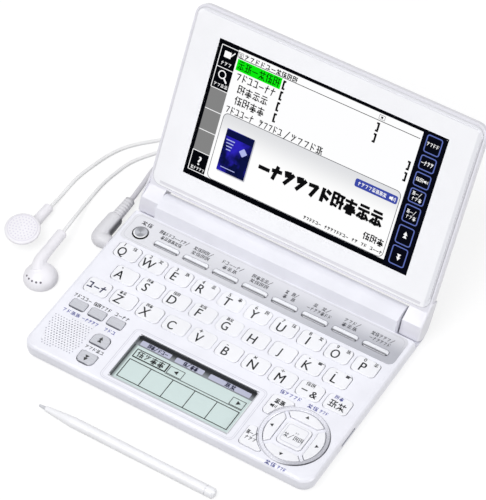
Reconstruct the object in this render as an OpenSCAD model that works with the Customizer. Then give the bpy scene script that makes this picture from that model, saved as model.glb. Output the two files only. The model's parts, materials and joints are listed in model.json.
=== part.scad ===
// Clamshell electronic dictionary with a full keyboard, a hinge barrel, a stylus and earphones.
// Millimetres, +Z up, +Y to the rear. The origin is on the desk under the centre of the base.

/* [Case] */
// Width of the base and of the lid
case_w = 147.2; // [147:0.1:154]
// Depth of the key deck, from its front edge to the hinge barrel
deck_d = 91; // [91:0.1:97]
// Radius of the case's corners seen from above
corner_r = 6; // [5:0.5:7]
// Height of the seam between the two base covers
seam_z = 5; // [4.8:0.1:5.2]
// Height of the key deck above the desk
deck_z = 8.7; // [8.6:0.1:9.2]
// Thickness of the moulded floor
floor_t = 2; // [1.8:0.1:2.1]
// Thickness of a rubber foot, which is let into the underside
foot_t = 0.6; // [0.4:0.1:0.8]
// Thickness of the key deck
skin_t = 1.4; // [1.2:0.1:1.5]
// Thickness of the upright case walls
wall_t = 1.4; // [1.2:0.1:1.8]
// Radius of a rubber foot
foot_r = 3.5; // [2.5:0.1:4.5]

/* [Hinge and battery bay] */
// Radius of the lid's hinge arms about the axis
arm_r = 6; // [5.8:0.1:6.2]
// Width of one hinge arm
arm_w = 10.1; // [9:0.1:12]
// Radius of the battery barrel
barrel_r = 6.5; // [6.4:0.1:6.8]
// Gap between the barrel's end and the arm
barrel_gap = 0.7; // [0.4:0.1:1.2]
// Radius of a hinge pin
pin_r = 2; // [1.5:0.1:2.5]
// Radial running clearance of the pin in the arm
pin_fit = 0.05; // [0.02:0.01:0.08]
// Length of a hinge pin
pin_l = 16; // [12:0.5:18]
// Angle between the closed lid and the lid as it stands
lid_open_angle = 119.4; // [90:0.1:150]
// Diameter of a dry cell
cell_dia = 10.5; // [10.3:0.1:10.6]
// Length of a dry cell with its nub
cell_l = 44.5; // [43:0.5:45]
// Width of the battery bay's sliding cover
battery_cover_w = 100.2; // [98:0.1:104]

/* [Lid] */
// Thickness of the lid's shell behind the rim
lid_t = 5.6; // [5.4:0.1:6]
// Height of the screen bezel above the rim
bezel_step = 0.4; // [0.3:0.1:0.5]
// Width of the rim around the raised bezel
rim_w = 2.1; // [1.8:0.1:2.6]
// Width of the black glass
glass_w = 114.9; // [110:0.1:118]
// Depth of the black glass
glass_d = 66; // [62:0.1:68]
// Thickness of the black glass
glass_t = 1; // [0.7:0.1:1.2]
// Depth of the display module behind the glass
display_t = 2.2; // [1.6:0.1:2.4]

/* [Letter keys] */
// Space between neighbouring letter keys
key_space = 2.074; // [1.5:0.002:2.6]
// Space between rows of letter keys
row_space = 3.45; // [2.6:0.01:4]
// Corner radius of a letter key
key_r = 2; // [1:0.1:2.5]
// Margin of the deck beside the ten letter keys of a row
row_margin = 4.73; // [4:0.01:5]
// Height of the key tops above the deck
key_rise = 0.5; // [0.4:0.05:0.55]
// Gap around a key in the deck
key_gap = 0.3; // [0.2:0.05:0.4]
// Travel of a key
key_travel = 0.6; // [0.4:0.05:0.7]
// Height of the rounded edge on a key's top
key_edge = 0.3; // [0.2:0.05:0.4]

/* [Function keys] */
// Space between neighbouring function keys
pill_space = 2.84; // [2:0.01:4]
// Depth of a function key
pill_d = 3; // [2.6:0.1:4]
// Distance from the power key to the first function key
pill_start = 15; // [14:0.1:15.5]
// Distance from the last function key to the case's side
pill_end = 13.27; // [12:0.01:14]
// Radius of the power key
power_r = 3.6; // [3:0.1:4]
// Depth of the silver function panel
panel_d = 16.6; // [15:0.1:17]
// Thickness of the silver function panel
panel_t = 0.55; // [0.4:0.05:0.7]

/* [Cursor pad] */
// Radius of the cursor keys' outer edge
pad_r = 13.4; // [13:0.1:13.6]
// Width of the ring around the cursor keys
ring_w = 2; // [1.4:0.1:2.4]
// Distance of a cursor key's straight edge from the centre
pad_inner = 8.2; // [8:0.1:8.8]
// Gap between neighbouring cursor keys
pad_gap = 2.2; // [1.8:0.1:3]
// Width of the enter key
enter_w = 12; // [11:0.1:12.2]
// Size of the two keys beside the pad
side_key = 11; // [10:0.1:11.4]

/* [Small keys] */
// Width of the three small keys
small_w = 7.7; // [7:0.1:8.4]
// Depth of the three small keys
small_d = 5; // [4.4:0.1:5.6]
// Distance between the small keys
small_pitch = 9.9; // [9.6:0.1:11]
// Width of a page key
page_w = 8.4; // [7.6:0.1:8.8]
// Depth of a page key
page_d = 6.4; // [5.6:0.1:7]

/* [Handwriting window and speaker] */
// Gap from the page keys to the handwriting window
window_page_gap = 8.8; // [8:0.1:10]
// Gap from the handwriting window to the keys beside the pad
window_side_gap = 5.85; // [5:0.05:7]
// Depth of the handwriting window
window_d = 26; // [24:0.1:27]
// Radius of the speaker
speaker_r = 7.5; // [6.5:0.1:7.8]
// Diameter of a hole in the speaker grille
grille_hole = 0.7; // [0.5:0.05:0.9]
// Distance between holes in the speaker grille
grille_pitch = 1.45; // [1.3:0.05:2]

/* [Stylus] */
// Length of the stylus
stylus_l = 90; // [80:0.5:100]
// Diameter of the stylus
stylus_dia = 5; // [4.5:0.1:6]

/* [Earphones] */
// Radius of the plug's shank
shank_r = 1.75; // [1.7:0.01:1.78]
// Length of the plug's shank
shank_l = 14; // [13:0.5:15]
// Diameter of the lead from the plug
lead_dia = 2.5; // [2.3:0.05:2.5]
// Diameter of each earbud's lead
branch_dia = 1.7; // [1.5:0.05:1.7]
// Diameter of an earbud
bud_dia = 16; // [15:0.1:17]
// Turns in each layer of the coiled lead
layer_turns = 4; // [2:1:4]

/* [Hidden] */
$fn = 64;
hull_fn = 32;
slice = 0.01;
white = [0.93, 0.94, 0.97];
key_white = [0.97, 0.97, 0.99];
silver = [0.78, 0.79, 0.82];
dark = [0.10, 0.11, 0.13];
bud_white = [0.95, 0.95, 0.96];

// Case outline
half_w = case_w / 2;
hinge_bay_d = 13.8;
front_y = -(deck_d + hinge_bay_d) / 2;
deck_rear = front_y + deck_d;
base_rear = deck_rear + hinge_bay_d;
floor_z = floor_t;
roof_z = deck_z - skin_t;

// Hinge axis and the parts about it
axis_y = deck_rear + 7.4;
lid_gap = 0.9;
axis_z = deck_z + lid_gap;
rim_z = axis_z + bezel_step;
lid_top = rim_z + lid_t;
lid_rear = deck_rear - 0.2;
arm_out = half_w + 0.2;
arm_in = arm_out - arm_w;
barrel_end = arm_in - barrel_gap;
barrel_y = axis_y + 0.2;
seat_r = arm_r + 0.4;
pin_in = arm_out - 2.5 - pin_l;

// Battery bay
cell_y = barrel_y;
cell_z = axis_z - 0.6;
bay_r = cell_dia / 2 + 0.25;
contact_l = 3;
contact_w = 7.6;
contact_t = 0.5;
spring_top_r = 2;
spring_foot_r = 3.2;
cell_button_l = 1;
cell_button_r = 2.6;
bay_half = cell_l + contact_l;
bay_front = cell_y - bay_r;
bay_rear = cell_y + bay_r;
cover_gap = 0.2;
cover_opening = battery_cover_w / 2 + cover_gap;
cover_front = deck_rear + 1.3;
cover_wall_top = axis_z - 2.6;

// Key heights
key_top = deck_z + key_rise;
key_base = roof_z - 0.3;
ear_t = 0.6;
ear_w = 0.8;
ear_d = 2;
plunger_r = 1;
board_z = floor_z + 0.4;
board_t = 1;
board_post_x = half_w - 33.6;
board_post_r = 2;
board_post_in = 12;
board_gap = 0.5;
boss_gap = 0.3;
sheet_z = board_z + board_t;
sheet_t = 0.6;
dome_h = 0.4;
dome_r = 1.2;
plunger_gap = 0.4;
plunger_z = sheet_z + sheet_t + dome_h + key_travel + plunger_gap;

// Key places
letter_y = deck_rear - 23.4;
small_y = front_y + 30.6;
small_step = 0.85;
key_pitch = (case_w - 2 * row_margin) / 10;
key_w = key_pitch - key_space;
row_pitch = (letter_y - small_y - small_step) / 3;
key_d = row_pitch - row_space;
letter_x = -9 * key_pitch / 2;
second_x = letter_x + 0.475 * key_pitch;
third_x = letter_x + 1.005 * key_pitch;
third_y = letter_y - 2 * row_pitch;
symbol_x = third_x + 7.002 * key_pitch;
delete_x = symbol_x + key_pitch;
panel_y = deck_rear - 0.5 - panel_d;
panel_w = case_w - 4.6;
panel_r = 3;
panel_gap = 0.05;
power_x = -half_w + 10.15;
power_y = panel_y + 6.4;
pill_x = power_x + pill_start;
pill_y = panel_y + 5;
pill_pitch = (half_w - pill_end - pill_x) / 7;
pill_w = pill_pitch - pill_space;
pill_r = 1.2;
small_x = -half_w + 10;
page_x = -half_w + 29.6;
page_up_y = front_y + 18.8;
page_down_y = front_y + 7.5;
pad_x = half_w - 18.65;
pad_y = front_y + 19.1;
side_x = pad_x - 13.7;
side_dy = 9.75;
side_cut = pad_r + 2.9;
ring_in = pad_r + key_gap;
ring_out = ring_in + ring_w;
ring_foot = deck_z - 0.3;

// Handwriting window, speaker, jack and card slot
window_left = page_x + page_w / 2 + window_page_gap;
window_right = side_x - side_key / 2 - window_side_gap;
window_w = window_right - window_left;
window_x = (window_left + window_right) / 2;
window_y = front_y + 18.2;
lcd_edge = 3;
sheet_edge = 1.5;
touch_t = 0.2;
lcd_t = 1.9;
lcd_z = roof_z - touch_t - lcd_t;
speaker_in = [13.6, 14.9];
speaker_x = -half_w + speaker_in[0];
speaker_y = front_y + speaker_in[1];
speaker_fit = 0.6;
speaker_frame_t = 2.2;
speaker_dish = 1.4;
grille_t = 0.8;
grille_rim = 1.2;
grille_corners = [[3.9, 21.6], [22.7, 24.5], [22.2, 7.1], [6.6, 5.2]];
jack_y = deck_rear - 20;
jack_z = floor_z + 2.05;
jack_fit = 0.05;
jack_bore_r = shank_r + jack_fit;
jack_in = -half_w + wall_t;
jack_l = shank_l + 1;
jack_body_w = 4.2;
jack_skin = 0.25;
jack_end_t = 1.4;
jack_room = 0.5;
jack_nose_r = 2.4;
jack_nose_l = 1;
slot_y = front_y + 33.2;
slot_w = 11.3;
slot_h = 1.8;

// Screws and feet
screw_x = half_w - 4.8;
screw_front = front_y + 4.2;
screw_rear = deck_rear - 4.2;
screw_r = 0.95;
screw_head_r = 1.9;
screw_head_t = 0.8;
screw_sink = 0.4;
boss_r = 2.1;
foot_fit = 0.05;
foot_x = half_w - 8.6;
foot_y = -front_y - 8;

// Lid pieces
lid_seam = 1.2;
seam_gap = 0.15;
glass_x = -0.18;
glass_rear = lid_rear - 12.4;
glass_sink = 0.25;
glass_fit = 0.15;
bezel_back = axis_z + glass_sink + glass_t;
display_edge = 1.5;
display_pad_r = 3;
display_pad_in = 4;
lid_skin = 1.3;

// Stylus on the desk in front of the base
stylus_r = stylus_dia / 2;
stylus_x = -50;
stylus_y = front_y - 20.8;
stylus_tip_l = 3.6;
stylus_cone_l = 14;
stylus_tip_r = 0.9;
stylus_point_r = 0.35;
stylus_neck_l = 4;
stylus_step = 0.35;
stylus_collar = 4.4;
stylus_groove = 0.25;
stylus_groove_l = 0.4;
stylus_edge = 0.8;

// Plug beside the base and its lead
plug_r = 3.8;
plug_x = -half_w - 6.8;
plug_neck = 1.2;
plug_front = jack_y - 4;
plug_back = jack_y + 14.6;
sleeve_l = 11.4;
sleeve_r = 2.3;
lead_r = lead_dia / 2;
branch_r = branch_dia / 2;
tie_t = 0.4;

// Coiled part of the lead, behind the lid
coil_x = -30;
coil_y = 115;
coil_pitch = lead_dia + 0.45;
coil_out = 19.65;
coil_inner = coil_out - layer_turns * coil_pitch;
coil_steps = 24;
coil_sides = 6;
coil_low = tie_t + 0.05 + lead_r;
coil_high = coil_low + coil_pitch;
coil_end_y = coil_y - coil_out;
split_l = 10;
split_w = 6.6;
split_t = 2 * coil_low - 0.1;
coil_tail = 8;
split_x = coil_x + coil_tail;
branch_side = 1.5;
tube_sides = 8;

// Earbuds
bud_r = bud_dia / 2;
bud_h = 8.9;
cap_t = 1.9;
cap_crown = 0.6;
stem_drop = 2.6;
stem_l = 21;
stem_r = 2.15;
stem_root_r = 3;
stem_bore = 1.2;
stem_bore_l = 2;
vent_r = 0.45;
bud1 = [-110.4, 1.9];
bud1_turn = 0.3;
bud2 = [-90.9, -12.6];
bud2_turn = 9.4;
bud2_stem_z = bud_h - stem_drop;

// Route of the lead from the plug to the coil
lead_start = [plug_x, plug_back + sleeve_l, jack_z];
lead_route = [
    lead_start,
    [-80.6, 49, 3.7],
    [-81.3, 54, 3.0],
    [-82.1, 60, 2.2],
    [-82.9, 66, 1.6],
    [-82.9, 72, 1.3],
    [-80.5, 79, 1.3],
    [-75.5, 85, 1.3],
    [-69, 89.5, 1.3],
    [-62, 92.6, 1.4],
    [-55, 94.4, 1.9],
    [-48, 95.2, 3.0],
    [-41, coil_end_y, 4.2],
    [coil_x - 2 * lead_dia, coil_end_y, coil_high],
    [coil_x - lead_dia, coil_end_y, coil_high]
];
// Routes of the two earbud leads, from the earbud to the split
bud1_route = [
    [-110.3, 21.0, stem_drop],
    [-110.35, 26, 2.1],
    [-110.7, 33, 1.0],
    [-110.7, 45, branch_r],
    [-108.9, 55.5, branch_r],
    [-105.4, 67.5, branch_r],
    [-100.1, 76.8, branch_r],
    [-91, 86.3, branch_r],
    [-83, 95, branch_r],
    [-76, 106, branch_r],
    [-69, 119, branch_r],
    [-60, 132, branch_r],
    [-46, 142, branch_r],
    [-28, 145.5, branch_r],
    [-10, 142.5, branch_r],
    [4.5, 131.5, branch_r],
    [9.5, 115, branch_r],
    [6, 101.5, branch_r],
    [-4.5, 94.2, 1.3],
    [split_x + split_l, coil_end_y - branch_side, coil_low]
];
bud2_route = [
    [-94.05, 6.3, bud2_stem_z],
    [-94.9, 12, 6.0],
    [-95.8, 19, 5.0],
    [-97.1, 27.5, 3.1],
    [-98.2, 36, 1.4],
    [-98.5, 48.6, branch_r],
    [-97, 59, branch_r],
    [-94.4, 68.2, branch_r],
    [-87.8, 78.8, branch_r],
    [-79.5, 87.5, branch_r],
    [-72, 99, branch_r],
    [-66, 113, branch_r],
    [-57.5, 127, branch_r],
    [-45, 137, branch_r],
    [-29, 141, branch_r],
    [-12.5, 138, branch_r],
    [0.5, 128, branch_r],
    [5, 114.5, branch_r],
    [1.5, 104, branch_r],
    [-6, 97.7, 1.3],
    [split_x + split_l, coil_end_y + branch_side, coil_low]
];

// Flat outline with round corners, centred on the origin
module rounded(w, d, r) {
    square([w - 2 * r, d], center = true);
    square([w, d - 2 * r], center = true);
    for (x = [-1, 1], y = [-1, 1])
        translate([x * (w / 2 - r), y * (d / 2 - r)])
            circle(r);
}

// Plate of such an outline, standing on height z
module plate(w, d, r, z, h) {
    translate([0, 0, z])
        linear_extrude(h)
            rounded(w, d, r);
}

// One level of a moulded shell, drawn in by inset at the front and the sides
module shell_level(z, inset, rear) {
    front = front_y + inset;
    translate([0, (front + rear) / 2, z])
        linear_extrude(slice)
            rounded(case_w - 2 * inset, rear - front, corner_r - inset / 2, $fn = hull_fn);
}

// Solid outside form of the bottom cover, with its belly drawn in
module bottom_form() {
    hull() {
        shell_level(0, 2.4, base_rear - 2.4);
        shell_level(0.7, 1.3, base_rear - 1.3);
        shell_level(floor_z + 0.4, 0.25, base_rear - 0.25);
        shell_level(seam_z - 1, 0, base_rear);
        shell_level(seam_z - slice, 0, base_rear);
    }
}

// Solid outside form of the key deck, rounded over along its front and sides
module deck_form() {
    intersection() {
        hull() {
            shell_level(seam_z, 0, deck_rear + corner_r);
            shell_level(deck_z - 1.2, 0.15, deck_rear + corner_r);
            shell_level(deck_z - 0.4, 0.7, deck_rear + corner_r);
            shell_level(deck_z - slice, 1.6, deck_rear + corner_r);
        }
        translate([-half_w, front_y, seam_z])
            cube([case_w, deck_d, deck_z]);
    }
}

// Everything drawn with the lid closed is turned up about the hinge axis
module stand_open() {
    translate([0, axis_y, axis_z])
        rotate([-lid_open_angle, 0, 0])
            translate([0, -axis_y, -axis_z])
                children();
}

// Round bar along X about a point of the YZ plane
module bar_x(x0, x1, y, z, r) {
    translate([x0, y, z])
        rotate([0, 90, 0])
            cylinder(r = r, h = x1 - x0);
}

// Flat YZ outline drawn out along X
module along_x(x0, x1) {
    translate([x0, 0, 0])
        rotate([90, 0, 90])
            linear_extrude(x1 - x0)
                children();
}

// Places of the keys, used by the keys, the deck's holes and the domes
function row_places(x, y, n) = [for (i = [0:n - 1]) [x + i * key_pitch, y]];
upper_places = row_places(letter_x, letter_y, 10);
middle_places = row_places(second_x, letter_y - row_pitch, 9);
lower_places = row_places(third_x, third_y, 7);
shift_place = [letter_x, third_y];
symbol_place = [symbol_x, third_y];
delete_place = [delete_x, third_y];
letter_places = concat(upper_places, middle_places, lower_places, [shift_place, symbol_place, delete_place]);
pill_places = [for (i = [0:7]) [pill_x + i * pill_pitch, pill_y]];
small_places = [for (i = [0:2]) [small_x + i * small_pitch, small_y]];
page_places = [[page_x, page_up_y], [page_x, page_down_y]];
side_places = [[side_x, pad_y + side_dy], [side_x, pad_y - side_dy]];
pad_reach = (pad_r + pad_inner) / 2;
pad_places = [for (a = [0:90:270]) [pad_x + pad_reach * cos(a), pad_y + pad_reach * sin(a)]];
dome_places = concat(letter_places, pill_places, small_places, page_places, side_places, pad_places,
    [[power_x, power_y], [pad_x, pad_y]]);

// Outline of a page key, whose far edge has the larger corners
module page_outline(grow) {
    w = page_w + 2 * grow;
    d = page_d + 2 * grow;
    far_r = 3;
    near_r = 1;
    hull_w = w - 2 * far_r;
    for (x = [-1, 1]) {
        translate([x * hull_w / 2, d / 2 - far_r])
            circle(far_r);
        translate([x * (w / 2 - near_r), near_r - d / 2])
            circle(near_r);
    }
    translate([-hull_w / 2, 0])
        square([hull_w, d / 2]);
    translate([-w / 2, near_r - d / 2])
        square([w, d - near_r - far_r]);
    translate([near_r - w / 2, -d / 2])
        square([w - 2 * near_r, d / 2]);
}

// Outline of a cursor key that lies behind the centre of the pad
module cursor_outline(grow) {
    reach = pad_r + grow;
    flank = pad_gap / sqrt(2) - grow * sqrt(2);
    intersection() {
        circle(reach);
        translate([-reach, pad_inner - grow])
            square([2 * reach, reach]);
        polygon([[0, flank], [reach, reach + flank], [-reach, reach + flank]]);
    }
}

// Outline of a key beside the pad, hollowed by the pad's circle; side is 1 behind, -1 in front
module side_outline(grow, side) {
    difference() {
        rounded(side_key + 2 * grow, side_key + 2 * grow, 2 + grow);
        translate([pad_x - side_x, -side * side_dy])
            circle(side_cut - grow);
    }
}

// Ears under the deck and the plunger over the dome, about a key of width w
module key_underside(w) {
    translate([-w / 2 - key_gap - ear_w / 2, -ear_d / 2, key_base - ear_t])
        cube([w + 2 * key_gap + ear_w, ear_d, ear_t + slice]);
    translate([0, 0, plunger_z])
        cylinder(r = plunger_r, h = key_base - plunger_z + slice, $fn = hull_fn);
}

// Key cap whose flat outline is the child, with a softened top edge given by a smaller second child
module key_cap(place, w) {
    translate([place[0], place[1], 0]) {
        translate([0, 0, key_base])
            linear_extrude(key_top - key_base - key_edge)
                children(0);
        hull() {
            translate([0, 0, key_top - key_edge - slice])
                linear_extrude(slice)
                    children(0);
            translate([0, 0, key_top - slice])
                linear_extrude(slice)
                    children(1);
        }
        key_underside(w);
    }
}

// Key cap with a rectangular outline and round corners
module box_key(place, w, d, r) {
    key_cap(place, w) {
        rounded(w, d, r, $fn = 24);
        rounded(w - 2 * key_edge, d - 2 * key_edge, r - key_edge / 2, $fn = 24);
    }
}

module base_bottom_cover() {
    color(white)
        difference() {
            bottom_form();
            // Hollow of the tray in front of the bulkhead
            translate([0, (front_y + deck_rear) / 2, 0])
                plate(case_w - 2 * wall_t, deck_d - 2 * wall_t, corner_r - wall_t, floor_z, seam_z);
            // Bay for the cells, closed by the sliding cover
            translate([-cover_opening, cover_front, -1])
                cube([2 * cover_opening, hinge_bay_d, seam_z + 2]);
            // Seats under the hinge arms
            for (side = [-1, 1]) {
                inner = barrel_end + barrel_gap / 2;
                x0 = side > 0 ? inner : -half_w - 1;
                translate([x0, deck_rear + 0.3, seam_z - 0.8])
                    cube([half_w + 1 - inner, hinge_bay_d, seam_z]);
                bar_x(x0, x0 + half_w + 1 - inner, axis_y, axis_z, seat_r);
            }
            bar_x(-half_w - 1, jack_in + jack_nose_l + 0.1, jack_y, jack_z, jack_nose_r + 0.1);
            card_slot();
            for (x = [-1, 1], y = [screw_front, screw_rear])
                translate([x * screw_x, y, 0]) {
                    translate([0, 0, -1])
                        cylinder(r = screw_head_r + 0.05, h = 1 + screw_sink + screw_head_t);
                    cylinder(r = screw_r + 0.1, h = seam_z);
                }
            for (x = [-1, 1], y = [-1, 1])
                translate([x * foot_x, y * foot_y, -1])
                    cylinder(r = foot_r + foot_fit, h = 1 + foot_t);
        }
}

// Slot in the right wall, cut through both covers at the seam
module card_slot() {
    translate([half_w - wall_t - 1, slot_y - slot_w / 2, seam_z - slot_h / 2])
        cube([wall_t + 2, slot_w, slot_h]);
}

// Outline of the speaker grille, drawn in by inset
module grille_outline(inset) {
    r = 2;
    hull()
        for (c = grille_corners) {
            toward = speaker_in - c;
            translate([-half_w, front_y] + c + toward * (r + inset) / norm(toward) * 1.3)
                circle(r, $fn = hull_fn);
        }
}

module base_top_cover() {
    color(white) {
        difference() {
            deck_form();
            translate([0, (front_y + deck_rear) / 2, 0])
                plate(case_w - 2 * wall_t, deck_d - 2 * wall_t, corner_r - wall_t, seam_z - 1, roof_z - seam_z + 1);
            deck_holes();
            panel_recess();
            translate([0, 0, deck_z - grille_t])
                linear_extrude(skin_t)
                    grille_outline(0);
            translate([0, 0, seam_z])
                linear_extrude(deck_z)
                    grille_outline(grille_rim);
            translate([pad_x, pad_y, ring_foot])
                cylinder(r = ring_out, h = skin_t);
            bar_x(-half_w - 1, jack_in, jack_y, jack_z, jack_nose_r + 0.1);
            card_slot();
        }
        // Bosses for the case screws
        for (x = [-1, 1], y = [screw_front, screw_rear])
            translate([x * screw_x, y, floor_z])
                difference() {
                    cylinder(r = boss_r, h = roof_z - floor_z + 0.2);
                    translate([0, 0, -slice])
                        cylinder(r = screw_r, h = roof_z - floor_z);
                }
    }
}

// All openings of the deck, each a key's outline grown by the gap
module deck_holes() {
    translate([0, 0, seam_z])
        linear_extrude(deck_z) {
            for (p = letter_places)
                translate(p)
                    rounded(key_w + 2 * key_gap, key_d + 2 * key_gap, key_r + key_gap);
            for (p = pill_places)
                translate(p)
                    rounded(pill_w + 2 * key_gap, pill_d + 2 * key_gap, pill_r + key_gap);
            translate([power_x, power_y])
                circle(power_r + key_gap);
            for (p = small_places)
                translate(p)
                    rounded(small_w + 2 * key_gap, small_d + 2 * key_gap, 1 + key_gap);
            translate(page_places[0])
                page_outline(key_gap);
            translate(page_places[1])
                mirror([0, 1])
                    page_outline(key_gap);
            translate(side_places[0])
                side_outline(key_gap, 1);
            translate(side_places[1])
                side_outline(key_gap, -1);
            translate([pad_x, pad_y]) {
                for (a = [0:90:270])
                    rotate(a)
                        cursor_outline(key_gap);
                rounded(enter_w + 2 * key_gap, enter_w + 2 * key_gap, 2 + key_gap);
            }
            translate([window_x, window_y])
                rounded(window_w, window_d, 1.2);
        }
}

// Flat outline of the silver panel, grown by grow
module panel_outline(grow) {
    translate([0, panel_y + panel_d / 2])
        rounded(panel_w + 2 * grow, panel_d + 2 * grow, panel_r + grow);
}

module panel_recess() {
    translate([0, 0, deck_z - panel_t + 0.05])
        linear_extrude(skin_t)
            panel_outline(panel_gap);
}

module function_panel() {
    color(silver)
        translate([0, 0, deck_z - panel_t + 0.05])
            linear_extrude(panel_t)
                difference() {
                    panel_outline(0);
                    for (p = pill_places)
                        translate(p)
                            rounded(pill_w + 2 * key_gap, pill_d + 2 * key_gap, pill_r + key_gap);
                    translate([power_x, power_y])
                        circle(power_r + key_gap);
                }
}

// Section of the barrel: a front facet, a crease, a top facet and a round back
module barrel_section() {
    crease = [axis_y - 5.6, axis_z + 4.7];
    ridge = [axis_y - 2.2, axis_z + 6.05];
    back = barrel_y + barrel_r;
    difference() {
        union() {
            translate([barrel_y, axis_z])
                circle(barrel_r);
            polygon([[deck_rear, seam_z], [deck_rear, axis_z - 0.7], crease, ridge,
                [barrel_y, axis_z], [back, axis_z], [back, seam_z]]);
        }
        polygon([[deck_rear - 5, seam_z - 5], [deck_rear, seam_z], [deck_rear, axis_z - 0.7], crease, ridge,
            [ridge[0], lid_top + 5], [deck_rear - 5, lid_top + 5]]);
        translate([deck_rear - 5, -barrel_r])
            square([hinge_bay_d + barrel_r, seam_z + barrel_r]);
    }
}

module barrel_housing() {
    color(white)
        difference() {
            along_x(-barrel_end, barrel_end)
                barrel_section();
            bar_x(-bay_half, bay_half, cell_y, cell_z, bay_r);
            translate([-bay_half, bay_front, seam_z - 1])
                cube([2 * bay_half, 2 * bay_r, cell_z - seam_z + 1]);
            translate([-cover_opening, bay_rear - 0.6, seam_z - 1])
                cube([2 * cover_opening, 3, cover_wall_top + cover_gap + 1 - seam_z]);
            for (x = [pin_in, -pin_in - pin_l])
                bar_x(x, x + pin_l, axis_y, axis_z, pin_r);
        }
}

module battery_cells() {
    color("goldenrod")
        for (x = [-cell_l, 0]) {
            bar_x(x, x + cell_l - cell_button_l, cell_y, cell_z, cell_dia / 2);
            bar_x(x + cell_l - cell_button_l, x + cell_l, cell_y, cell_z, cell_button_r);
        }
}

module battery_contacts() {
    color("silver")
        for (side = [0, 1])
            mirror([side, 0, 0]) {
                translate([bay_half - contact_t, cell_y - contact_w / 2, cell_z - contact_w / 2])
                    cube([contact_t, contact_w, contact_w]);
                translate([cell_l, cell_y, cell_z])
                    rotate([0, 90, 0])
                        cylinder(r1 = spring_top_r, r2 = spring_foot_r, h = contact_l - contact_t);
            }
}

module battery_cover() {
    half = battery_cover_w / 2;
    back = barrel_y + barrel_r;
    color(white)
        difference() {
            union() {
                intersection() {
                    bottom_form();
                    translate([-half, cover_front + cover_gap, 0])
                        cube([battery_cover_w, hinge_bay_d, seam_z]);
                }
                translate([-half, back - 1, floor_z])
                    cube([battery_cover_w, 1, cover_wall_top - floor_z]);
            }
            translate([-half - 1, cover_front, floor_z])
                cube([battery_cover_w + 2, back - 1 - cover_front, seam_z]);
        }
}

// Plan of the circuit board, clear of the bosses and the jack
module board_outline() {
    difference() {
        translate([0, (front_y + deck_rear) / 2])
            rounded(case_w - 2 * (wall_t + board_gap), deck_d - 2 * (wall_t + board_gap), corner_r - wall_t);
        for (x = [-1, 1], y = [screw_front, screw_rear])
            translate([x * screw_x, y])
                circle(boss_r + boss_gap);
        translate([jack_in - 1, jack_y - jack_body_w / 2 - jack_room])
            square([jack_l + 1 + 0.6, jack_body_w + 2 * jack_room]);
    }
}

module main_board() {
    color("darkgreen") {
        translate([0, 0, board_z])
            linear_extrude(board_t)
                board_outline();
        for (x = [-board_post_x, board_post_x], y = [front_y + board_post_in, deck_rear - board_post_in])
            translate([x, y, floor_z])
                cylinder(r = board_post_r, h = board_z - floor_z);
    }
}

module key_sheet() {
    color("dimgray") {
        translate([0, 0, sheet_z])
            linear_extrude(sheet_t)
                difference() {
                    board_outline();
                    translate([speaker_x, speaker_y])
                        circle(speaker_r + speaker_fit);
                }
        for (p = dome_places)
            translate([p[0], p[1], sheet_z])
                cylinder(r = dome_r, h = sheet_t + dome_h, $fn = 16);
    }
}

module speaker() {
    color("black")
        difference() {
            translate([speaker_x, speaker_y, sheet_z])
                union() {
                    cylinder(r = speaker_r * 0.55, h = roof_z - sheet_z);
                    translate([0, 0, roof_z - sheet_z - speaker_frame_t])
                        cylinder(r = speaker_r, h = speaker_frame_t);
                }
            translate([speaker_x, speaker_y, roof_z - speaker_dish])
                cylinder(r1 = speaker_r * 0.4, r2 = speaker_r - 1, h = speaker_dish + slice);
        }
}

module speaker_grille() {
    rows = ceil(12 / grille_pitch);
    color(silver)
        difference() {
            translate([0, 0, deck_z - grille_t])
                linear_extrude(grille_t)
                    grille_outline(0.05);
            for (i = [-rows:rows], j = [-rows:rows]) {
                x = (i + (j % 2 == 0 ? 0 : 0.5)) * grille_pitch;
                y = j * grille_pitch * 0.87;
                if (grille_room([x, y] + speaker_in))
                    translate([speaker_x + x, speaker_y + y, deck_z - 1])
                        cylinder(d = grille_hole, h = 2, $fn = 16);
            }
        }
}

// Whether a hole at p, measured from the base's left front corner, lies well inside the grille
function grille_room(p) = min([for (i = [0:3])
    let (a = grille_corners[i], b = grille_corners[(i + 1) % 4], e = b - a)
    (e[1] * (p[0] - a[0]) - e[0] * (p[1] - a[1])) / norm(e)]) > 2;

module sub_display() {
    color("darkslategray")
        translate([window_x, window_y, 0])
            plate(window_w + 2 * lcd_edge, window_d + 2 * lcd_edge, 1, lcd_z, lcd_t);
}

module sub_touch_sheet() {
    color([0.55, 0.62, 0.60])
        translate([window_x, window_y, 0])
            plate(window_w + 2 * sheet_edge, window_d + 2 * sheet_edge, 1, roof_z - touch_t, touch_t);
}

module headphone_jack() {
    color(dark)
        difference() {
            union() {
                translate([jack_in, jack_y - jack_body_w / 2, floor_z])
                    cube([jack_l, jack_body_w, jack_z - floor_z + jack_bore_r + jack_skin]);
                bar_x(jack_in - wall_t + 0.2, jack_in + jack_nose_l, jack_y, jack_z, jack_nose_r);
            }
            bar_x(-half_w - 1, jack_in + jack_l - jack_end_t, jack_y, jack_z, jack_bore_r);
        }
}

module rubber_feet() {
    color("dimgray")
        for (x = [-1, 1], y = [-1, 1])
            translate([x * foot_x, y * foot_y, 0])
                cylinder(r = foot_r, h = foot_t);
}

module case_screws() {
    color("silver")
        for (x = [-1, 1], y = [screw_front, screw_rear])
            translate([x * screw_x, y, screw_sink])
                difference() {
                    union() {
                        cylinder(r = screw_head_r, h = screw_head_t);
                        cylinder(r = screw_r, h = roof_z - screw_sink - 1);
                    }
                    for (a = [0, 90])
                        rotate(a)
                            cube([2.2, 0.5, 0.8], center = true);
                }
}

module hinge_pins() {
    color("silver")
        for (x = [pin_in, -pin_in - pin_l])
            bar_x(x, x + pin_l, axis_y, axis_z, pin_r);
}

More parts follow.
